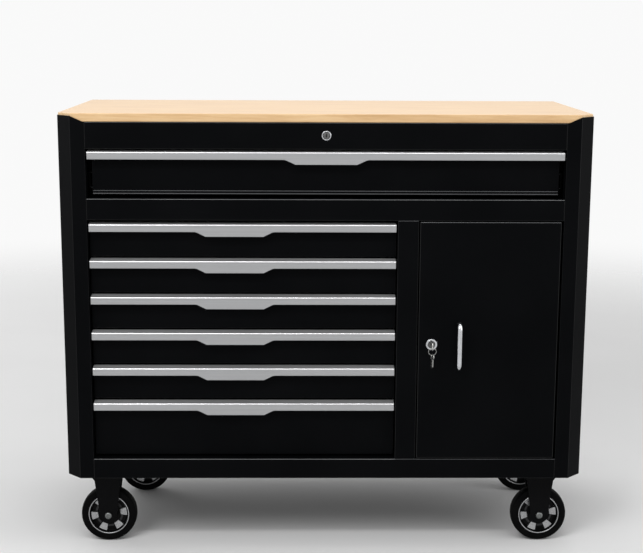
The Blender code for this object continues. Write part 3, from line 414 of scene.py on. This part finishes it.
class Surface:
    """A node material: a Principled shader and helpers that add textures to it."""

    def __init__(self, name, metallic=0.0, roughness=0.5, specular=0.5):
        self.material = bpy.data.materials.new(name)
        self.material.use_nodes = True
        self.tree = self.material.node_tree
        self.shader = self.tree.nodes["Principled BSDF"]
        self.shader.inputs["Metallic"].default_value = metallic
        self.shader.inputs["Roughness"].default_value = roughness
        self.shader.inputs["Specular IOR Level"].default_value = specular
        self.place = self.tree.nodes.new("ShaderNodeTexCoord").outputs["Object"]

    def node(self, kind, **settings):
        made = self.tree.nodes.new(kind)
        for key, value in settings.items():
            setattr(made, key, value)
        return made

    def wire(self, source, target):
        self.tree.links.new(source, target)

    def feed(self, socket, value):
        """Gives a socket a number, a colour or another node's output."""
        if isinstance(value, (int, float)):
            socket.default_value = value
        elif isinstance(value, tuple):
            socket.default_value = (*value, 1)
        else:
            self.wire(value, socket)

    def stretched(self, scale, turn=(0, 0, 0), vector=None):
        """The place on the object, or another vector, scaled along each axis."""
        mapping = self.node("ShaderNodeMapping")
        mapping.inputs["Scale"].default_value = scale
        mapping.inputs["Rotation"].default_value = turn
        self.wire(vector or self.place, mapping.inputs["Vector"])
        return mapping.outputs["Vector"]

    def noise(self, scale, detail=3.0, roughness=0.55, vector=None, distortion=0.0):
        made = self.node("ShaderNodeTexNoise")
        made.inputs["Scale"].default_value = scale
        made.inputs["Detail"].default_value = detail
        made.inputs["Roughness"].default_value = roughness
        made.inputs["Distortion"].default_value = distortion
        self.wire(vector or self.place, made.inputs["Vector"])
        return made.outputs["Fac"]

    def ramp(self, value, *stops):
        """Colours along a value: (position, (r, g, b))."""
        made = self.node("ShaderNodeValToRGB")
        elements = made.color_ramp.elements
        while len(elements) < len(stops):
            elements.new(0.5)
        for element, (position, colour) in zip(elements, stops):
            element.position = position
            element.color = (*colour, 1)
        self.wire(value, made.inputs["Fac"])
        return made.outputs["Color"]

    def scaled(self, value, low, high, start=0.0, end=1.0):
        """A value carried from start..end to low..high."""
        made = self.node("ShaderNodeMapRange")
        for key, number in (("From Min", start), ("From Max", end), ("To Min", low), ("To Max", high)):
            made.inputs[key].default_value = number
        self.wire(value, made.inputs["Value"])
        return made.outputs["Result"]

    def maths(self, operation, first, second=0.0):
        made = self.node("ShaderNodeMath", operation=operation)
        self.feed(made.inputs[0], first)
        self.feed(made.inputs[1], second)
        return made.outputs["Value"]

    def mixed(self, factor, first, second):
        """A mix of two colours, by the sockets that a Mix node has for colours."""
        made = self.node("ShaderNodeMix", data_type="RGBA")
        for number, value in ((0, factor), (6, first), (7, second)):
            self.feed(made.inputs[number], value)
        return made.outputs[2]

    def bump(self, height, distance, strength=1.0):
        made = self.node("ShaderNodeBump")
        made.inputs["Distance"].default_value = distance
        made.inputs["Strength"].default_value = strength
        self.wire(height, made.inputs["Height"])
        self.wire(made.outputs["Normal"], self.shader.inputs["Normal"])

    def colour(self, source):
        self.wire(source, self.shader.inputs["Base Color"])

    def rough(self, source):
        self.wire(source, self.shader.inputs["Roughness"])


def powder_coat(name, dark, light, rough, specular):
    """Satin black powder coat: fine orange peel, a little unevenness and faint handling marks."""
    s = Surface(name, specular=specular)
    peel = s.noise(scale=900.0, detail=2.0)
    cloud = s.noise(scale=5.0, detail=4.0)
    smudge = s.noise(scale=17.0, detail=6.0, roughness=0.7)
    s.colour(s.ramp(cloud, (0.35, dark), (0.7, light)))
    handled = s.scaled(smudge, *rough, start=0.35, end=0.7)
    s.rough(s.maths("ADD", handled, s.scaled(peel, low=-0.03, high=0.03)))
    s.bump(peel, distance=0.00006)
    return s.material


def beech_top():
    """Edge-glued staves along X, with long grain, pores and a clear lacquer."""
    s = Surface("beech_top", roughness=0.4, specular=0.4)
    split = s.node("ShaderNodeSeparateXYZ")
    s.wire(s.place, split.inputs["Vector"])
    across = s.maths("DIVIDE", split.outputs["Y"], STAVE_WIDTH)
    number = s.node("ShaderNodeCombineXYZ")
    s.wire(s.maths("FLOOR", across), number.inputs["X"])
    tone = s.node("ShaderNodeTexWhiteNoise", noise_dimensions="3D")
    s.wire(number.outputs["Vector"], tone.inputs["Vector"])
    offset = s.node("ShaderNodeVectorMath", operation="MULTIPLY_ADD")
    s.wire(number.outputs["Vector"], offset.inputs[0])
    offset.inputs[1].default_value = STAVE_OFFSET
    s.wire(s.place, offset.inputs[2])
    grain = s.stretched((1.0, 17.0, 17.0), vector=offset.outputs["Vector"])
    streak = s.noise(scale=6.0, detail=5.0, roughness=0.6, vector=grain, distortion=0.35)
    pores = s.stretched((1.0, 40.0, 40.0), vector=offset.outputs["Vector"])
    fine = s.noise(scale=20.0, detail=3.0, roughness=0.6, vector=pores)
    wood = s.ramp(streak, (0.28, (0.60, 0.365, 0.165)), (0.5, (0.74, 0.49, 0.25)),
                  (0.72, (0.83, 0.60, 0.335)))
    pore_share = s.scaled(fine, low=0.0, high=0.16, start=0.45, end=0.75)
    wood = s.mixed(pore_share, wood, (0.50, 0.29, 0.12))
    shaded = s.node("ShaderNodeVectorMath", operation="SCALE")
    s.wire(wood, shaded.inputs[0])
    s.wire(s.scaled(tone.outputs["Value"], low=0.965, high=1.01), shaded.inputs["Scale"])
    seam = s.maths("ABSOLUTE", s.maths("SUBTRACT", s.maths("FRACT", across), 0.5))
    seam_line = s.scaled(seam, low=0.0, high=0.30, start=0.488, end=0.5)
    s.colour(s.mixed(seam_line, shaded.outputs["Vector"], (0.36, 0.19, 0.08)))
    s.rough(s.scaled(streak, low=0.34, high=0.46))
    relief = s.maths("SUBTRACT", fine, s.maths("MULTIPLY", seam_line, 2.0))
    s.bump(relief, distance=0.00012, strength=0.5)
    s.shader.inputs["Coat Weight"].default_value = 0.45
    s.shader.inputs["Coat Roughness"].default_value = 0.32
    return s.material


def brushed(name, dark, light, rough, grain, metallic=1.0, anisotropy=0.0, marks=0.00002):
    """Metal with fine lines along its length."""
    s = Surface(name, metallic=metallic)
    lines = s.noise(scale=1.0, detail=4.0, roughness=0.7, vector=s.stretched(grain))
    cloud = s.noise(scale=9.0, detail=3.0)
    s.colour(s.mixed(s.scaled(cloud, low=0.0, high=0.35), s.ramp(lines, (0.3, dark), (0.7, light)), dark))
    s.rough(s.scaled(lines, *rough, start=0.3, end=0.7))
    s.bump(lines, distance=marks)
    s.shader.inputs["Anisotropic"].default_value = anisotropy
    return s.material


def plated(name, dark, light, rough, spot=60.0, marks=0.00001):
    """Plated metal: nearly even, with faint stains and fine scratches."""
    s = Surface(name, metallic=1.0)
    cloud = s.noise(scale=spot, detail=5.0, roughness=0.65)
    across = s.stretched((900.0, 60.0, 300.0), turn=(0.3, 0.5, 0.2))
    scratch = s.noise(scale=1.0, detail=2.0, roughness=0.8, vector=across)
    s.colour(s.ramp(cloud, (0.35, dark), (0.7, light)))
    stained = s.scaled(cloud, *rough, start=0.35, end=0.7)
    s.rough(s.maths("ADD", stained, s.scaled(scratch, low=0.0, high=0.05, start=0.55, end=0.8)))
    s.bump(scratch, distance=marks)
    return s.material


def moulded(name, dark, light, rough, grain, depth, specular):
    """Rubber or plastic with a fine moulded grain and a little dust."""
    s = Surface(name, specular=specular)
    texture = s.noise(scale=grain, detail=3.0)
    dust = s.noise(scale=22.0, detail=6.0, roughness=0.7)
    s.colour(s.ramp(dust, (0.4, dark), (0.75, light)))
    s.rough(s.scaled(dust, *rough, start=0.35, end=0.75))
    s.bump(texture, distance=depth)
    return s.material


PAINT = powder_coat("black_powder_coat", (0.0019, 0.0021, 0.0025), (0.0028, 0.0030, 0.0035),
                    rough=(0.37, 0.43), specular=0.022)
FOLD_PAINT = powder_coat("black_coat_on_folds", (0.0018, 0.0020, 0.0024), (0.0028, 0.0030, 0.0035),
                         rough=(0.20, 0.30), specular=0.30)
# A lighter black for upward folds and rims: a painted highlight.
RIM_HIGHLIGHT_PAINT = powder_coat("black_coat_painted_highlight_on_rims", (0.050, 0.052, 0.056), (0.072, 0.074, 0.078),
                        rough=(0.22, 0.34), specular=0.45)
# A much lighter black for the lit rims of the rails: a painted highlight.
RAIL_RIM_HIGHLIGHT = powder_coat("black_coat_painted_highlight_on_rails", (0.17, 0.175, 0.18), (0.24, 0.245, 0.25),
                             rough=(0.24, 0.36), specular=0.45)
LACQUER = powder_coat("black_lacquer", (0.0016, 0.0016, 0.0019), (0.0028, 0.0028, 0.0032),
                      rough=(0.26, 0.38), specular=0.05)
BEECH = beech_top()

DRAWN = {"rough": (0.28, 0.40), "grain": (2.0, 1500.0, 1500.0), "metallic": 0.72, "anisotropy": 0.4}
ALUMINIUM = brushed("satin_aluminium", (0.345, 0.348, 0.355), (0.435, 0.438, 0.445), **DRAWN)
# Lighter copies of the aluminium: painted light on the slope, a painted highlight on the nose.
SLOPE_LIT_ALUMINIUM = brushed("aluminium_slope_painted_light", (0.56, 0.564, 0.57), (0.67, 0.674, 0.68), **DRAWN)
NOSE_HIGHLIGHT_ALUMINIUM = brushed("aluminium_nose_painted_highlight", (0.72, 0.72, 0.73), (0.82, 0.82, 0.83),
                         rough=(0.24, 0.34), grain=(1.0, 900.0, 900.0), marks=0.000001)
CHROME = plated("chrome", (0.52, 0.53, 0.55), (0.64, 0.65, 0.67), rough=(0.10, 0.20))
# A dark copy of the chrome for the lock plugs: painted shade of the keyhole.
PLUG_SHADED_METAL = plated("lock_plug", (0.10, 0.10, 0.10), (0.20, 0.20, 0.20), rough=(0.25, 0.40), spot=140.0)
NICKEL = plated("key_nickel", (0.40, 0.40, 0.39), (0.54, 0.54, 0.52), rough=(0.22, 0.34), spot=140.0)
ZINC = plated("zinc_plate", (0.12, 0.126, 0.124), (0.21, 0.217, 0.214),
              rough=(0.28, 0.42), spot=45.0, marks=0.00002)

RUBBER = moulded("tyre_rubber", (0.0020, 0.0020, 0.0022), (0.0044, 0.0043, 0.0042),
                 rough=(0.55, 0.75), grain=1400.0, depth=0.00004, specular=0.03)
WHEEL_BLACK = moulded("wheel_black", (0.0018, 0.0018, 0.0020), (0.0036, 0.0036, 0.0038),
                      rough=(0.30, 0.45), grain=1100.0, depth=0.00003, specular=0.08)
CAST_GRAIN = (300.0, 300.0, 300.0)
SILVER = brushed("silver_wheel", (0.30, 0.303, 0.31), (0.46, 0.463, 0.47),
                 rough=(0.32, 0.45), grain=CAST_GRAIN)
# A darker copy of the silver for the ledges in the pockets: painted shade.
SHADED_SILVER = brushed("shaded_wheel_web", (0.030, 0.030, 0.031), (0.060, 0.060, 0.062),
                      rough=(0.40, 0.55), grain=CAST_GRAIN)


# Cabinet

def highlight_rim(build, end):
    """Gives a rail's rim a painted highlight, from the left up to a place along X."""
    geometry = build.verts[:] + build.edges[:] + build.faces[:]
    bmesh.ops.bisect_plane(build, geom=geometry, plane_co=(end, 0, 0), plane_no=(1, 0, 0))
    for face in build.faces:
        if face.material_index == RIM and face.calc_center_median().x < end:
            face.material_index = HIGHLIT_RIM


def cabinet():
    """Every painted sheet-metal node, with rounded folds."""
    for node, slot in SLOT_OF.items():
        if slot != "black_paint":
            continue
        build = folded(node, FOLD_RADIUS if node.startswith(LARGE_FOLDS) else SMALL_FOLD_RADIUS)
        # The rails' rims get a painted highlight; on the bottom rail it stops where the door shades the
        # rim.
        if node == "mid_rail":
            highlight_rim(build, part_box(node)[1].x)
        elif node == "bottom_rail":
            highlight_rim(build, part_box("centre_stile")[0].x)
        piece(build, node + "_skin", BODY_OF[node], PAINT, slot, node,
              more=(FOLD_PAINT, RIM_HIGHLIGHT_PAINT, RAIL_RIM_HIGHLIGHT))


def stepped_lip():
    """The two small steps pressed along the foot of the top drawer's panel."""
    low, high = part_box("top_drawer_box")
    face = low.y
    half = (high.x - low.x) / 2 - LIP_INSET
    outline = [(face + LIP_SEAT, low.z + LIP_SEAT)]
    for i, step in enumerate(LIP_STEPS):
        outline.append((face - i * LIP_PROUD, low.z + step + LIP_SLOPE))
        outline.append((face - (i + 1) * LIP_PROUD, low.z + step))
    outline[1] = (face + LIP_SEAT, outline[1][1])
    outline.append((outline[-1][0], low.z + LIP_SEAT))
    lip = prism(outline, -half, half, "X")
    # Upward faces of the steps take the lighter rim coat: painted highlight lines.
    for side in lip.faces:
        if side.normal.z > RIM_TILT and side.normal.y < -RIM_TILT:
            side.material_index = LIP_RIM
    piece(lip, "top_drawer_lip", "top_drawer", PAINT, "black_paint", more=(RIM_HIGHLIGHT_PAINT,))


def wood_top():
    build = bevelled(flat_faces("wood_top"), WOOD_EDGE, angle=20)
    piece(build, "wood_top_slab", "cabinet", BEECH, "beech", "wood_top")


# Drawer handles

def handle(node, tab):
    """The extruded pull, with its rounded nose and the dropped tab on smooth shoulders."""
    low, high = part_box(node)
    front, back, top = low.y, high.y, high.z
    centre = (low.x + high.x) / 2 + tab["shift"]
    half_flat = tab["flat"] / 2
    drop = high.z - low.z - HANDLE_HEIGHT
    wall = HANDLE_WALL
    nose = HANDLE_NOSE
    edge = HANDLE_EDGE

    def depth(x):
        """How far the tab hangs at a place along the handle."""
        share = 1 - min(1, max(0, (abs(x - centre) - half_flat) / tab["slope"]))
        eased = share * share / (2 * TAB_EASE) if share < TAB_EASE else share - TAB_EASE / 2
        return drop * eased / (1 - TAB_EASE / 2)

    stations = [low.x, low.x + HANDLE_END, high.x - HANDLE_END, high.x]
    for side in (-1, 1):
        steps = range(TAB_STATIONS + 1)
        stations += [centre + side * (half_flat + tab["slope"] * k / TAB_STATIONS) for k in steps]
    stations = sorted(set(round(x, 7) for x in stations))

    slope = math.degrees(math.atan2(HANDLE_SLOPE_DROP - nose * NOSE_RISE, back - front - nose))
    nose_z = top - HANDLE_SLOPE_DROP - nose * NOSE_SINK
    outer = [(back, top - HANDLE_BACK), (back, top - edge), (back - edge, top)]
    outer += arc((front + nose, nose_z), nose, 90 + slope, 180, 7)
    inner = arc((front + nose, nose_z), nose - wall, 180, 90 + slope, 4)
    inner += [(back - wall, top - wall), (back - wall, top - HANDLE_BACK)]
    build = bmesh.new()
    rings = []
    for i, x in enumerate(stations):
        inset = HANDLE_CHAMFER if i in (0, len(stations) - 1) else 0.0
        foot = top - HANDLE_HEIGHT - depth(x)
        lip = [(front, foot + edge), (front + HANDLE_CHAMFER, foot),
               (front + wall - HANDLE_CHAMFER, foot), (front + wall, foot + edge)]
        rings.append([build.verts.new((x, y + (inset if y < front + wall / 2 else 0),
                                       z - (inset if z > top - HANDLE_TOP_BAND else 0)))
                      for y, z in outer + lip + inner])
    walls(build, rings)
    build.faces.new(rings[0])
    build.faces.new(rings[-1])
    bmesh.ops.recalc_face_normals(build, faces=build.faces)
    # Slope faces take the lighter aluminium as painted light, nose faces the brightest as a painted
    # highlight.
    for face in build.faces:
        if face.normal.z < NOSE_TILT or face.calc_center_median().z < top - HANDLE_HEIGHT / 2:
            continue
        if face.normal.z > 1 - NOSE_TILT / 2:
            face.material_index = SLOPE
        elif face.normal.y < -NOSE_TILT:
            face.material_index = NOSE
    piece(build, node + "_extrusion", BODY_OF[node], ALUMINIUM, "satin_aluminium", node,
          more=(NOSE_HIGHLIGHT_ALUMINIUM, SLOPE_LIT_ALUMINIUM))


def handles():
    for node in sorted(NODES):
        if node.endswith("_handle"):
            handle(node, TOP_TAB if node.startswith("top") else BANK_TAB)


# Locks, keys and pull

def lock(node, plug_node, name, radius):
    """A housing with a raised rim and a nut behind, round a plug with its keyway."""
    low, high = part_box(node)
    centre = (low + high) / 2
    face = low.y
    back = high.y - face
    rim = [(LOCK_BORE, -0.0012), (LOCK_BORE + 0.0009, -0.0003), (LOCK_BORE + 0.0012, 0.0)]
    rim += [(radius - BEZEL_ROUND + BEZEL_ROUND * math.sin(a), -BEZEL_ROUND + BEZEL_ROUND * math.cos(a))
            for a in (math.radians(15 * k) for k in range(7))]
    rim += [(radius, -BEZEL_DEPTH), (LOCK_BARREL, -LOCK_BARREL_START)]
    start, end = LOCK_NUT_DEPTHS
    nut = [(LOCK_BARREL, -start), (LOCK_NUT, -start), (LOCK_NUT, -end), (LOCK_BARREL, -end)]
    profile = rim + nut + [(LOCK_BARREL, -back), (LOCK_BORE, -back)]
    build = shifted(lathe(profile), centre.x, face, centre.z)
    piece(build, name + "_housing", BODY_OF[node], CHROME, "chrome", node)
    # The plug, in the chrome slot, takes the dark copy: painted shade of the keyhole.
    plug = bevelled(flat_faces(plug_node), EASE["plug"])
    piece(plug, name + "_plug", BODY_OF[plug_node], PLUG_SHADED_METAL, "chrome", plug_node)


def key(node):
    """A key with its edges eased."""
    build = bevelled(flat_faces(node), EASE[node])
    piece(build, node + "_body", BODY_OF[node], NICKEL, "key_steel", node)


def key_ring():
    """A split ring: nearly two turns of round wire."""
    low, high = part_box("key_ring")
    centre = (low + high) / 2
    radius = (high.x - low.x) / 2 - RING_MARGIN
    path = []
    for k in range(RING_STEPS + 1):
        angle = 2 * math.pi * RING_TURNS * k / RING_STEPS + RING_START
        rise = RING_RISE * (2 * k / RING_STEPS - 1)
        path.append((centre.x + radius * math.cos(angle), centre.y + rise,
                     centre.z + radius * math.sin(angle)))
    build = tube(path, RING_WIRE, sides=10)
    piece(build, "split_ring", "key_ring", NICKEL, "key_steel", "key_ring")


def door_pull():
    """A round bar, bent back to the door at both ends."""
    low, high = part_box("door_pull")
    radius = (high.x - low.x) / 2
    x = (low.x + high.x) / 2
    half = (high.z - low.z) / 2 - radius + PULL_EXTRA
    middle = (low.z + high.z) / 2
    bend_y = low.y + radius + PULL_BEND
    back = high.y
    bends = arc((bend_y, half - PULL_BEND), PULL_BEND, 90, 180, steps=12)
    bends += arc((bend_y, -half + PULL_BEND), PULL_BEND, 180, 270, steps=12)
    path = [(x, back, middle + half), (x, back - PULL_FOOT, middle + half)]
    path += [(x, y, middle + z) for y, z in bends]
    path += [(x, back - PULL_FOOT, middle - half), (x, back, middle - half)]
    piece(tube(path, radius, sides=24), "door_pull_bar", "door", CHROME, "chrome", "door_pull")


# Casters

def middle_of(node):
    """The middle of a node along X and along Y."""
    low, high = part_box(node)
    return (low.x + high.x) / 2, (low.y + high.y) / 2


def plate():
    """A caster's top plate with rounded corners."""
    outline = rounded_rectangle(PLATE_SIZE[0] / 2, PLATE_SIZE[1] / 2, PLATE_CORNER)
    slab = prism(outline, CASTER_HEIGHT - PLATE_THICKNESS, CASTER_HEIGHT, "Z")
    return bevelled(slab, EASE["plate"], angle=50)


def plate_bolts(centre_x, centre_y, name):
    """Four zinc bolts with washers under a caster plate, each head turned another way."""
    low = CASTER_HEIGHT - PLATE_THICKNESS
    washer_profile = [(0.0, -WASHER_THICKNESS), (WASHER_RADIUS, -WASHER_THICKNESS),
                      (WASHER_RADIUS, 0), (0.0, 0)]
    parts = []
    for side_x in (-1, 1):
        for side_y in (-1, 1):
            x = centre_x + side_x * BOLT_SPREAD[0]
            y = centre_y + side_y * BOLT_SPREAD[1]
            washer = bevelled(lathe(washer_profile, SMALL_STEPS, "Z"), EASE["washer"], angle=30)
            head = bevelled(prism(hexagon(BOLT_RADIUS), -BOLT_HEAD, 0, "Z"), BOLT_RADIUS * 0.10)
            turned(head, math.radians(17 + 60 * side_x + 23 * side_y), "Z")
            parts += [shifted(washer, x, y, low), shifted(head, x, y, low - BOLT_SEAT)]
    piece(gathered(*parts), name, "cabinet", ZINC, "zinc_plate")


def leg_pair():
    """Two tapered legs with round ends and a bore for the axle."""
    top_z = CASTER_HEIGHT - PLATE_THICKNESS / 2
    waist_z = top_z - LEG_WAIST_DROP
    outline = [(-LEG_TOP_HALF, top_z), (LEG_TOP_HALF, top_z), (LEG_WAIST_HALF, waist_z)]
    outline += arc((0, WHEEL_RADIUS), LEG_END_RADIUS, 8, -188, steps=24)
    outline.append((-LEG_WAIST_HALF, waist_z))
    legs = []
    for side in (-1, 1):
        low, high = sorted((side * LEG_INSIDE, side * (LEG_INSIDE + LEG_THICKNESS)))
        profile = [(0, low - CUT_EXTRA), (AXLE_BORE, low - CUT_EXTRA),
                   (AXLE_BORE, high + CUT_EXTRA), (0, high + CUT_EXTRA)]
        bore = turned(lathe(profile, SMALL_STEPS), math.pi, "Z")
        leg = cut(prism(outline, low, high, "Y"), shifted(bore, 0, 0, WHEEL_RADIUS))
        legs.append(bevelled(leg, EASE["leg"], angle=50))
    return legs


def axle_bolt(node, name):
    """Round-headed bolt in front with a small recess, and a lock nut behind."""
    low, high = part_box(node)
    centre = (low + high) / 2
    half = (high.y - low.y) / 2
    seat = LEG_INSIDE + LEG_THICKNESS + AXLE_GAP
    profile = [(radius, half - depth) for radius, depth in AXLE_RECESS]
    profile += [(AXLE_HEAD - AXLE_HEAD_ROUND + AXLE_HEAD_ROUND * math.sin(a),
                 half - AXLE_HEAD_ROUND + AXLE_HEAD_ROUND * math.cos(a))
                for a in (math.radians(15 * k) for k in range(1, 7))]
    profile += [(AXLE_HEAD, seat), (AXLE_SHANK, seat), (AXLE_SHANK, -seat), (0.0, -seat)]
    bolt = lathe(profile, SMALL_STEPS)
    nut = bevelled(prism(hexagon(AXLE_NUT, phase=12), seat, half - AXLE_GAP, "Y"), EASE["nut"])
    build = shifted(gathered(bolt, nut), centre.x, centre.y, centre.z)
    piece(build, name, BODY_OF[node], ZINC, "zinc_plate", node)


def mirror(profile):
    return [(radius, -height) for radius, height in reversed(profile)]


def spoke(number):
    """A silver spoke, narrower at its foot, and the ledge in the pocket beside it, in a darker copy of
    the silver: painted shade.
    """
    arm = prism(SPOKE, -SPOKE_HALF, SPOKE_HALF, "Y")
    for vert in arm.verts:
        if vert.co.x < SPOKE_FOOT:
            vert.co.y *= SPOKE_TAPER
    bevelled(arm, EASE["spoke"])
    turned(arm, -SPOKE_PHASE - 2 * math.pi * number / SPOKE_COUNT, "Y")
    outline = arc((0, 0), LEDGE_OUTER, -LEDGE_SPREAD, LEDGE_SPREAD)
    outline += arc((0, 0), LEDGE_INNER, LEDGE_SPREAD, -LEDGE_SPREAD)
    ledge = bevelled(prism(outline, -LEDGE_HALF, LEDGE_HALF, "Y"), EASE["ledge"])
    for face in ledge.faces:
        face.material_index = SHADED_LEDGE
    turned(ledge, -SPOKE_PHASE - 2 * math.pi * (number + 0.5) / SPOKE_COUNT, "Y")
    return [arm, ledge]


def wheel(core_node, tyre_node, word):
    """Tyre, black core, bright rim rings and six silver spokes."""
    low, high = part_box(tyre_node)
    place = tuple((low + high) / 2)
    body = BODY_OF[tyre_node]
    tread = shifted(lathe(TREAD + mirror(TREAD[:-1])), *place)
    piece(tread, f"tyre_{word}_tread", body, RUBBER, "tyre_rubber", tyre_node)
    core = shifted(lathe(CORE + mirror(CORE)), *place)
    piece(core, f"wheel_{word}_core", body, WHEEL_BLACK, "silver_wheel", core_node)
    parts = [lathe([(radius, side * height) for radius, height in RIM_RING]) for side in (-1, 1)]
    for number in range(SPOKE_COUNT):
        parts += spoke(number)
    trim = shifted(gathered(*parts), *place)
    piece(trim, f"wheel_{word}_trim", body, SILVER, "silver_wheel", more=(SHADED_SILVER,))


def rigid_caster(word):
    node = f"caster_bracket_front_{word}"
    x, y = middle_of(node)
    build = shifted(gathered(plate(), *leg_pair()), x, y, 0)
    piece(build, f"{node}_pressing", "cabinet", LACQUER, "black_steel", node)
    plate_bolts(x, y, f"caster_bolts_front_{word}")


def swivel_caster(word):
    node = f"swivel_plate_rear_{word}"
    x, y = middle_of(node)
    build = bevelled(flat_faces(node), EASE["swivel_plate"])
    piece(build, f"{node}_pressing", "cabinet", LACQUER, "black_steel", node)
    plate_bolts(x, y, f"caster_bolts_rear_{word}")
    fork = f"caster_fork_rear_{word}"
    build = bevelled(flat_faces(fork), EASE["fork"], angle=50)
    piece(build, f"{fork}_pressing", BODY_OF[fork], LACQUER, "black_steel", fork)


def casters():
    for word in ("left", "right"):
        rigid_caster(word)
        swivel_caster(word)
        for end in ("front", "rear"):
            wheel(f"wheel_core_{end}_{word}", f"tyre_{end}_{word}", f"{end}_{word}")
            axle_bolt(f"axle_{end}_{word}", f"axle_{end}_{word}_bolt")


def slides():
    # Black lacquer instead of zinc on the slides, so the gaps beside the drawers look dark: painted
    # shade.
    for node in SLOT_OF:
        if node.startswith(("slide_rack", "top_slide")):
            piece(flat_faces(node), node + "_rails", "cabinet", LACQUER, "black_steel", node)


# Camera, light and floor

def camera():
    """The photo's camera: turned by YAW, tipped down by PITCH and rolled by ROLL."""
    level = Vector((math.sin(YAW), math.cos(YAW), 0))
    right0 = Vector((math.cos(YAW), -math.sin(YAW), 0))
    up0 = Vector((0, 0, 1))
    forward = math.cos(PITCH) * level - math.sin(PITCH) * up0
    up1 = math.cos(PITCH) * up0 + math.sin(PITCH) * level
    right = math.cos(ROLL) * right0 + math.sin(ROLL) * up1
    up = math.cos(ROLL) * up1 - math.sin(ROLL) * right0
    data = bpy.data.cameras.new("camera")
    data.sensor_width = SENSOR
    data.lens = LENS
    data.sensor_fit = "HORIZONTAL"
    data.clip_end = 100
    made = link("camera", data)
    made.matrix_world = Matrix((
        (right.x, up.x, -forward.x, CAMERA[0]),
        (right.y, up.y, -forward.y, CAMERA[1]),
        (right.z, up.z, -forward.z, CAMERA[2]),
        (0, 0, 0, 1),
    ))
    bpy.context.scene.camera = made


def floor():
    """A plain pale floor that fades out far from the cart."""
    build = bmesh.new()
    corners = ((-1, -1), (1, -1), (1, 1), (-1, 1))
    build.faces.new([build.verts.new((x * FLOOR_HALF, y * FLOOR_HALF, 0)) for x, y in corners])
    made = link("floor", mesh_of(build, "floor"))
    s = Surface("floor", roughness=0.9, specular=0.1)
    dark, light = ((grey, grey, grey) for grey in FLOOR_GREYS)
    s.colour(s.ramp(s.noise(scale=1.5, detail=3.0), (0.3, dark), (0.7, light)))
    away = s.node("ShaderNodeVectorMath", operation="LENGTH")
    s.wire(s.place, away.inputs[0])
    fade = s.node("ShaderNodeMapRange", interpolation_type="SMOOTHSTEP")
    fade.inputs["From Min"].default_value, fade.inputs["From Max"].default_value = FLOOR_FADE
    s.wire(away.outputs["Value"], fade.inputs["Value"])
    clear = s.node("ShaderNodeBsdfTransparent")
    blend = s.node("ShaderNodeMixShader")
    s.wire(fade.outputs["Result"], blend.inputs["Fac"])
    s.wire(s.shader.outputs["BSDF"], blend.inputs[1])
    s.wire(clear.outputs["BSDF"], blend.inputs[2])
    s.wire(blend.outputs["Shader"], s.tree.nodes["Material Output"].inputs["Surface"])
    made.data.materials.append(s.material)


def sky():
    """A pale sky for the camera and for reflections, which lights everything else less."""
    world = bpy.data.worlds.new("studio")
    bpy.context.scene.world = world
    world.use_nodes = True
    nodes, wire = world.node_tree.nodes, world.node_tree.links.new
    nodes.clear()
    mix = nodes.new("ShaderNodeMixShader")
    for number, grey, strength in ((1, AMBIENT_GREY, AMBIENT_STRENGTH), (2, SKY_GREY, SKY_STRENGTH)):
        shade = nodes.new("ShaderNodeBackground")
        shade.inputs["Color"].default_value = (grey, grey, grey, 1)
        shade.inputs["Strength"].default_value = strength
        wire(shade.outputs["Background"], mix.inputs[number])
    path = nodes.new("ShaderNodeLightPath")
    seen = path.outputs["Is Camera Ray"]
    for ray in ("Is Glossy Ray", "Is Transmission Ray"):
        either = nodes.new("ShaderNodeMath")
        either.operation = "MAXIMUM"
        wire(seen, either.inputs[0])
        wire(path.outputs[ray], either.inputs[1])
        seen = either.outputs["Value"]
    wire(seen, mix.inputs["Fac"])
    wire(mix.outputs["Shader"], nodes.new("ShaderNodeOutputWorld").inputs["Surface"])


def lamps():
    """Soft rectangular lamps, each turned towards its target."""
    for name, (place, target, size, watts) in LAMPS.items():
        data = bpy.data.lights.new(name, "AREA")
        data.shape = "RECTANGLE"
        data.size, data.size_y = size
        data.energy = watts
        made = link(name, data)
        made.location = place
        made.rotation_euler = (Vector(target) - Vector(place)).to_track_quat("-Z", "Y").to_euler()


def main():
    bpy.context.scene.view_settings.view_transform = "Standard"
    camera()
    floor()
    sky()
    lamps()
    cabinet()
    stepped_lip()
    wood_top()
    handles()
    lock("door_lock_housing", "door_lock_plug", "door_lock", DOOR_BEZEL_RADIUS)
    lock("top_lock_housing", "top_lock_plug", "top_lock", TOP_BEZEL_RADIUS)
    key("door_key")
    key_ring()
    key("spare_key")
    door_pull()
    slides()
    casters()


main()
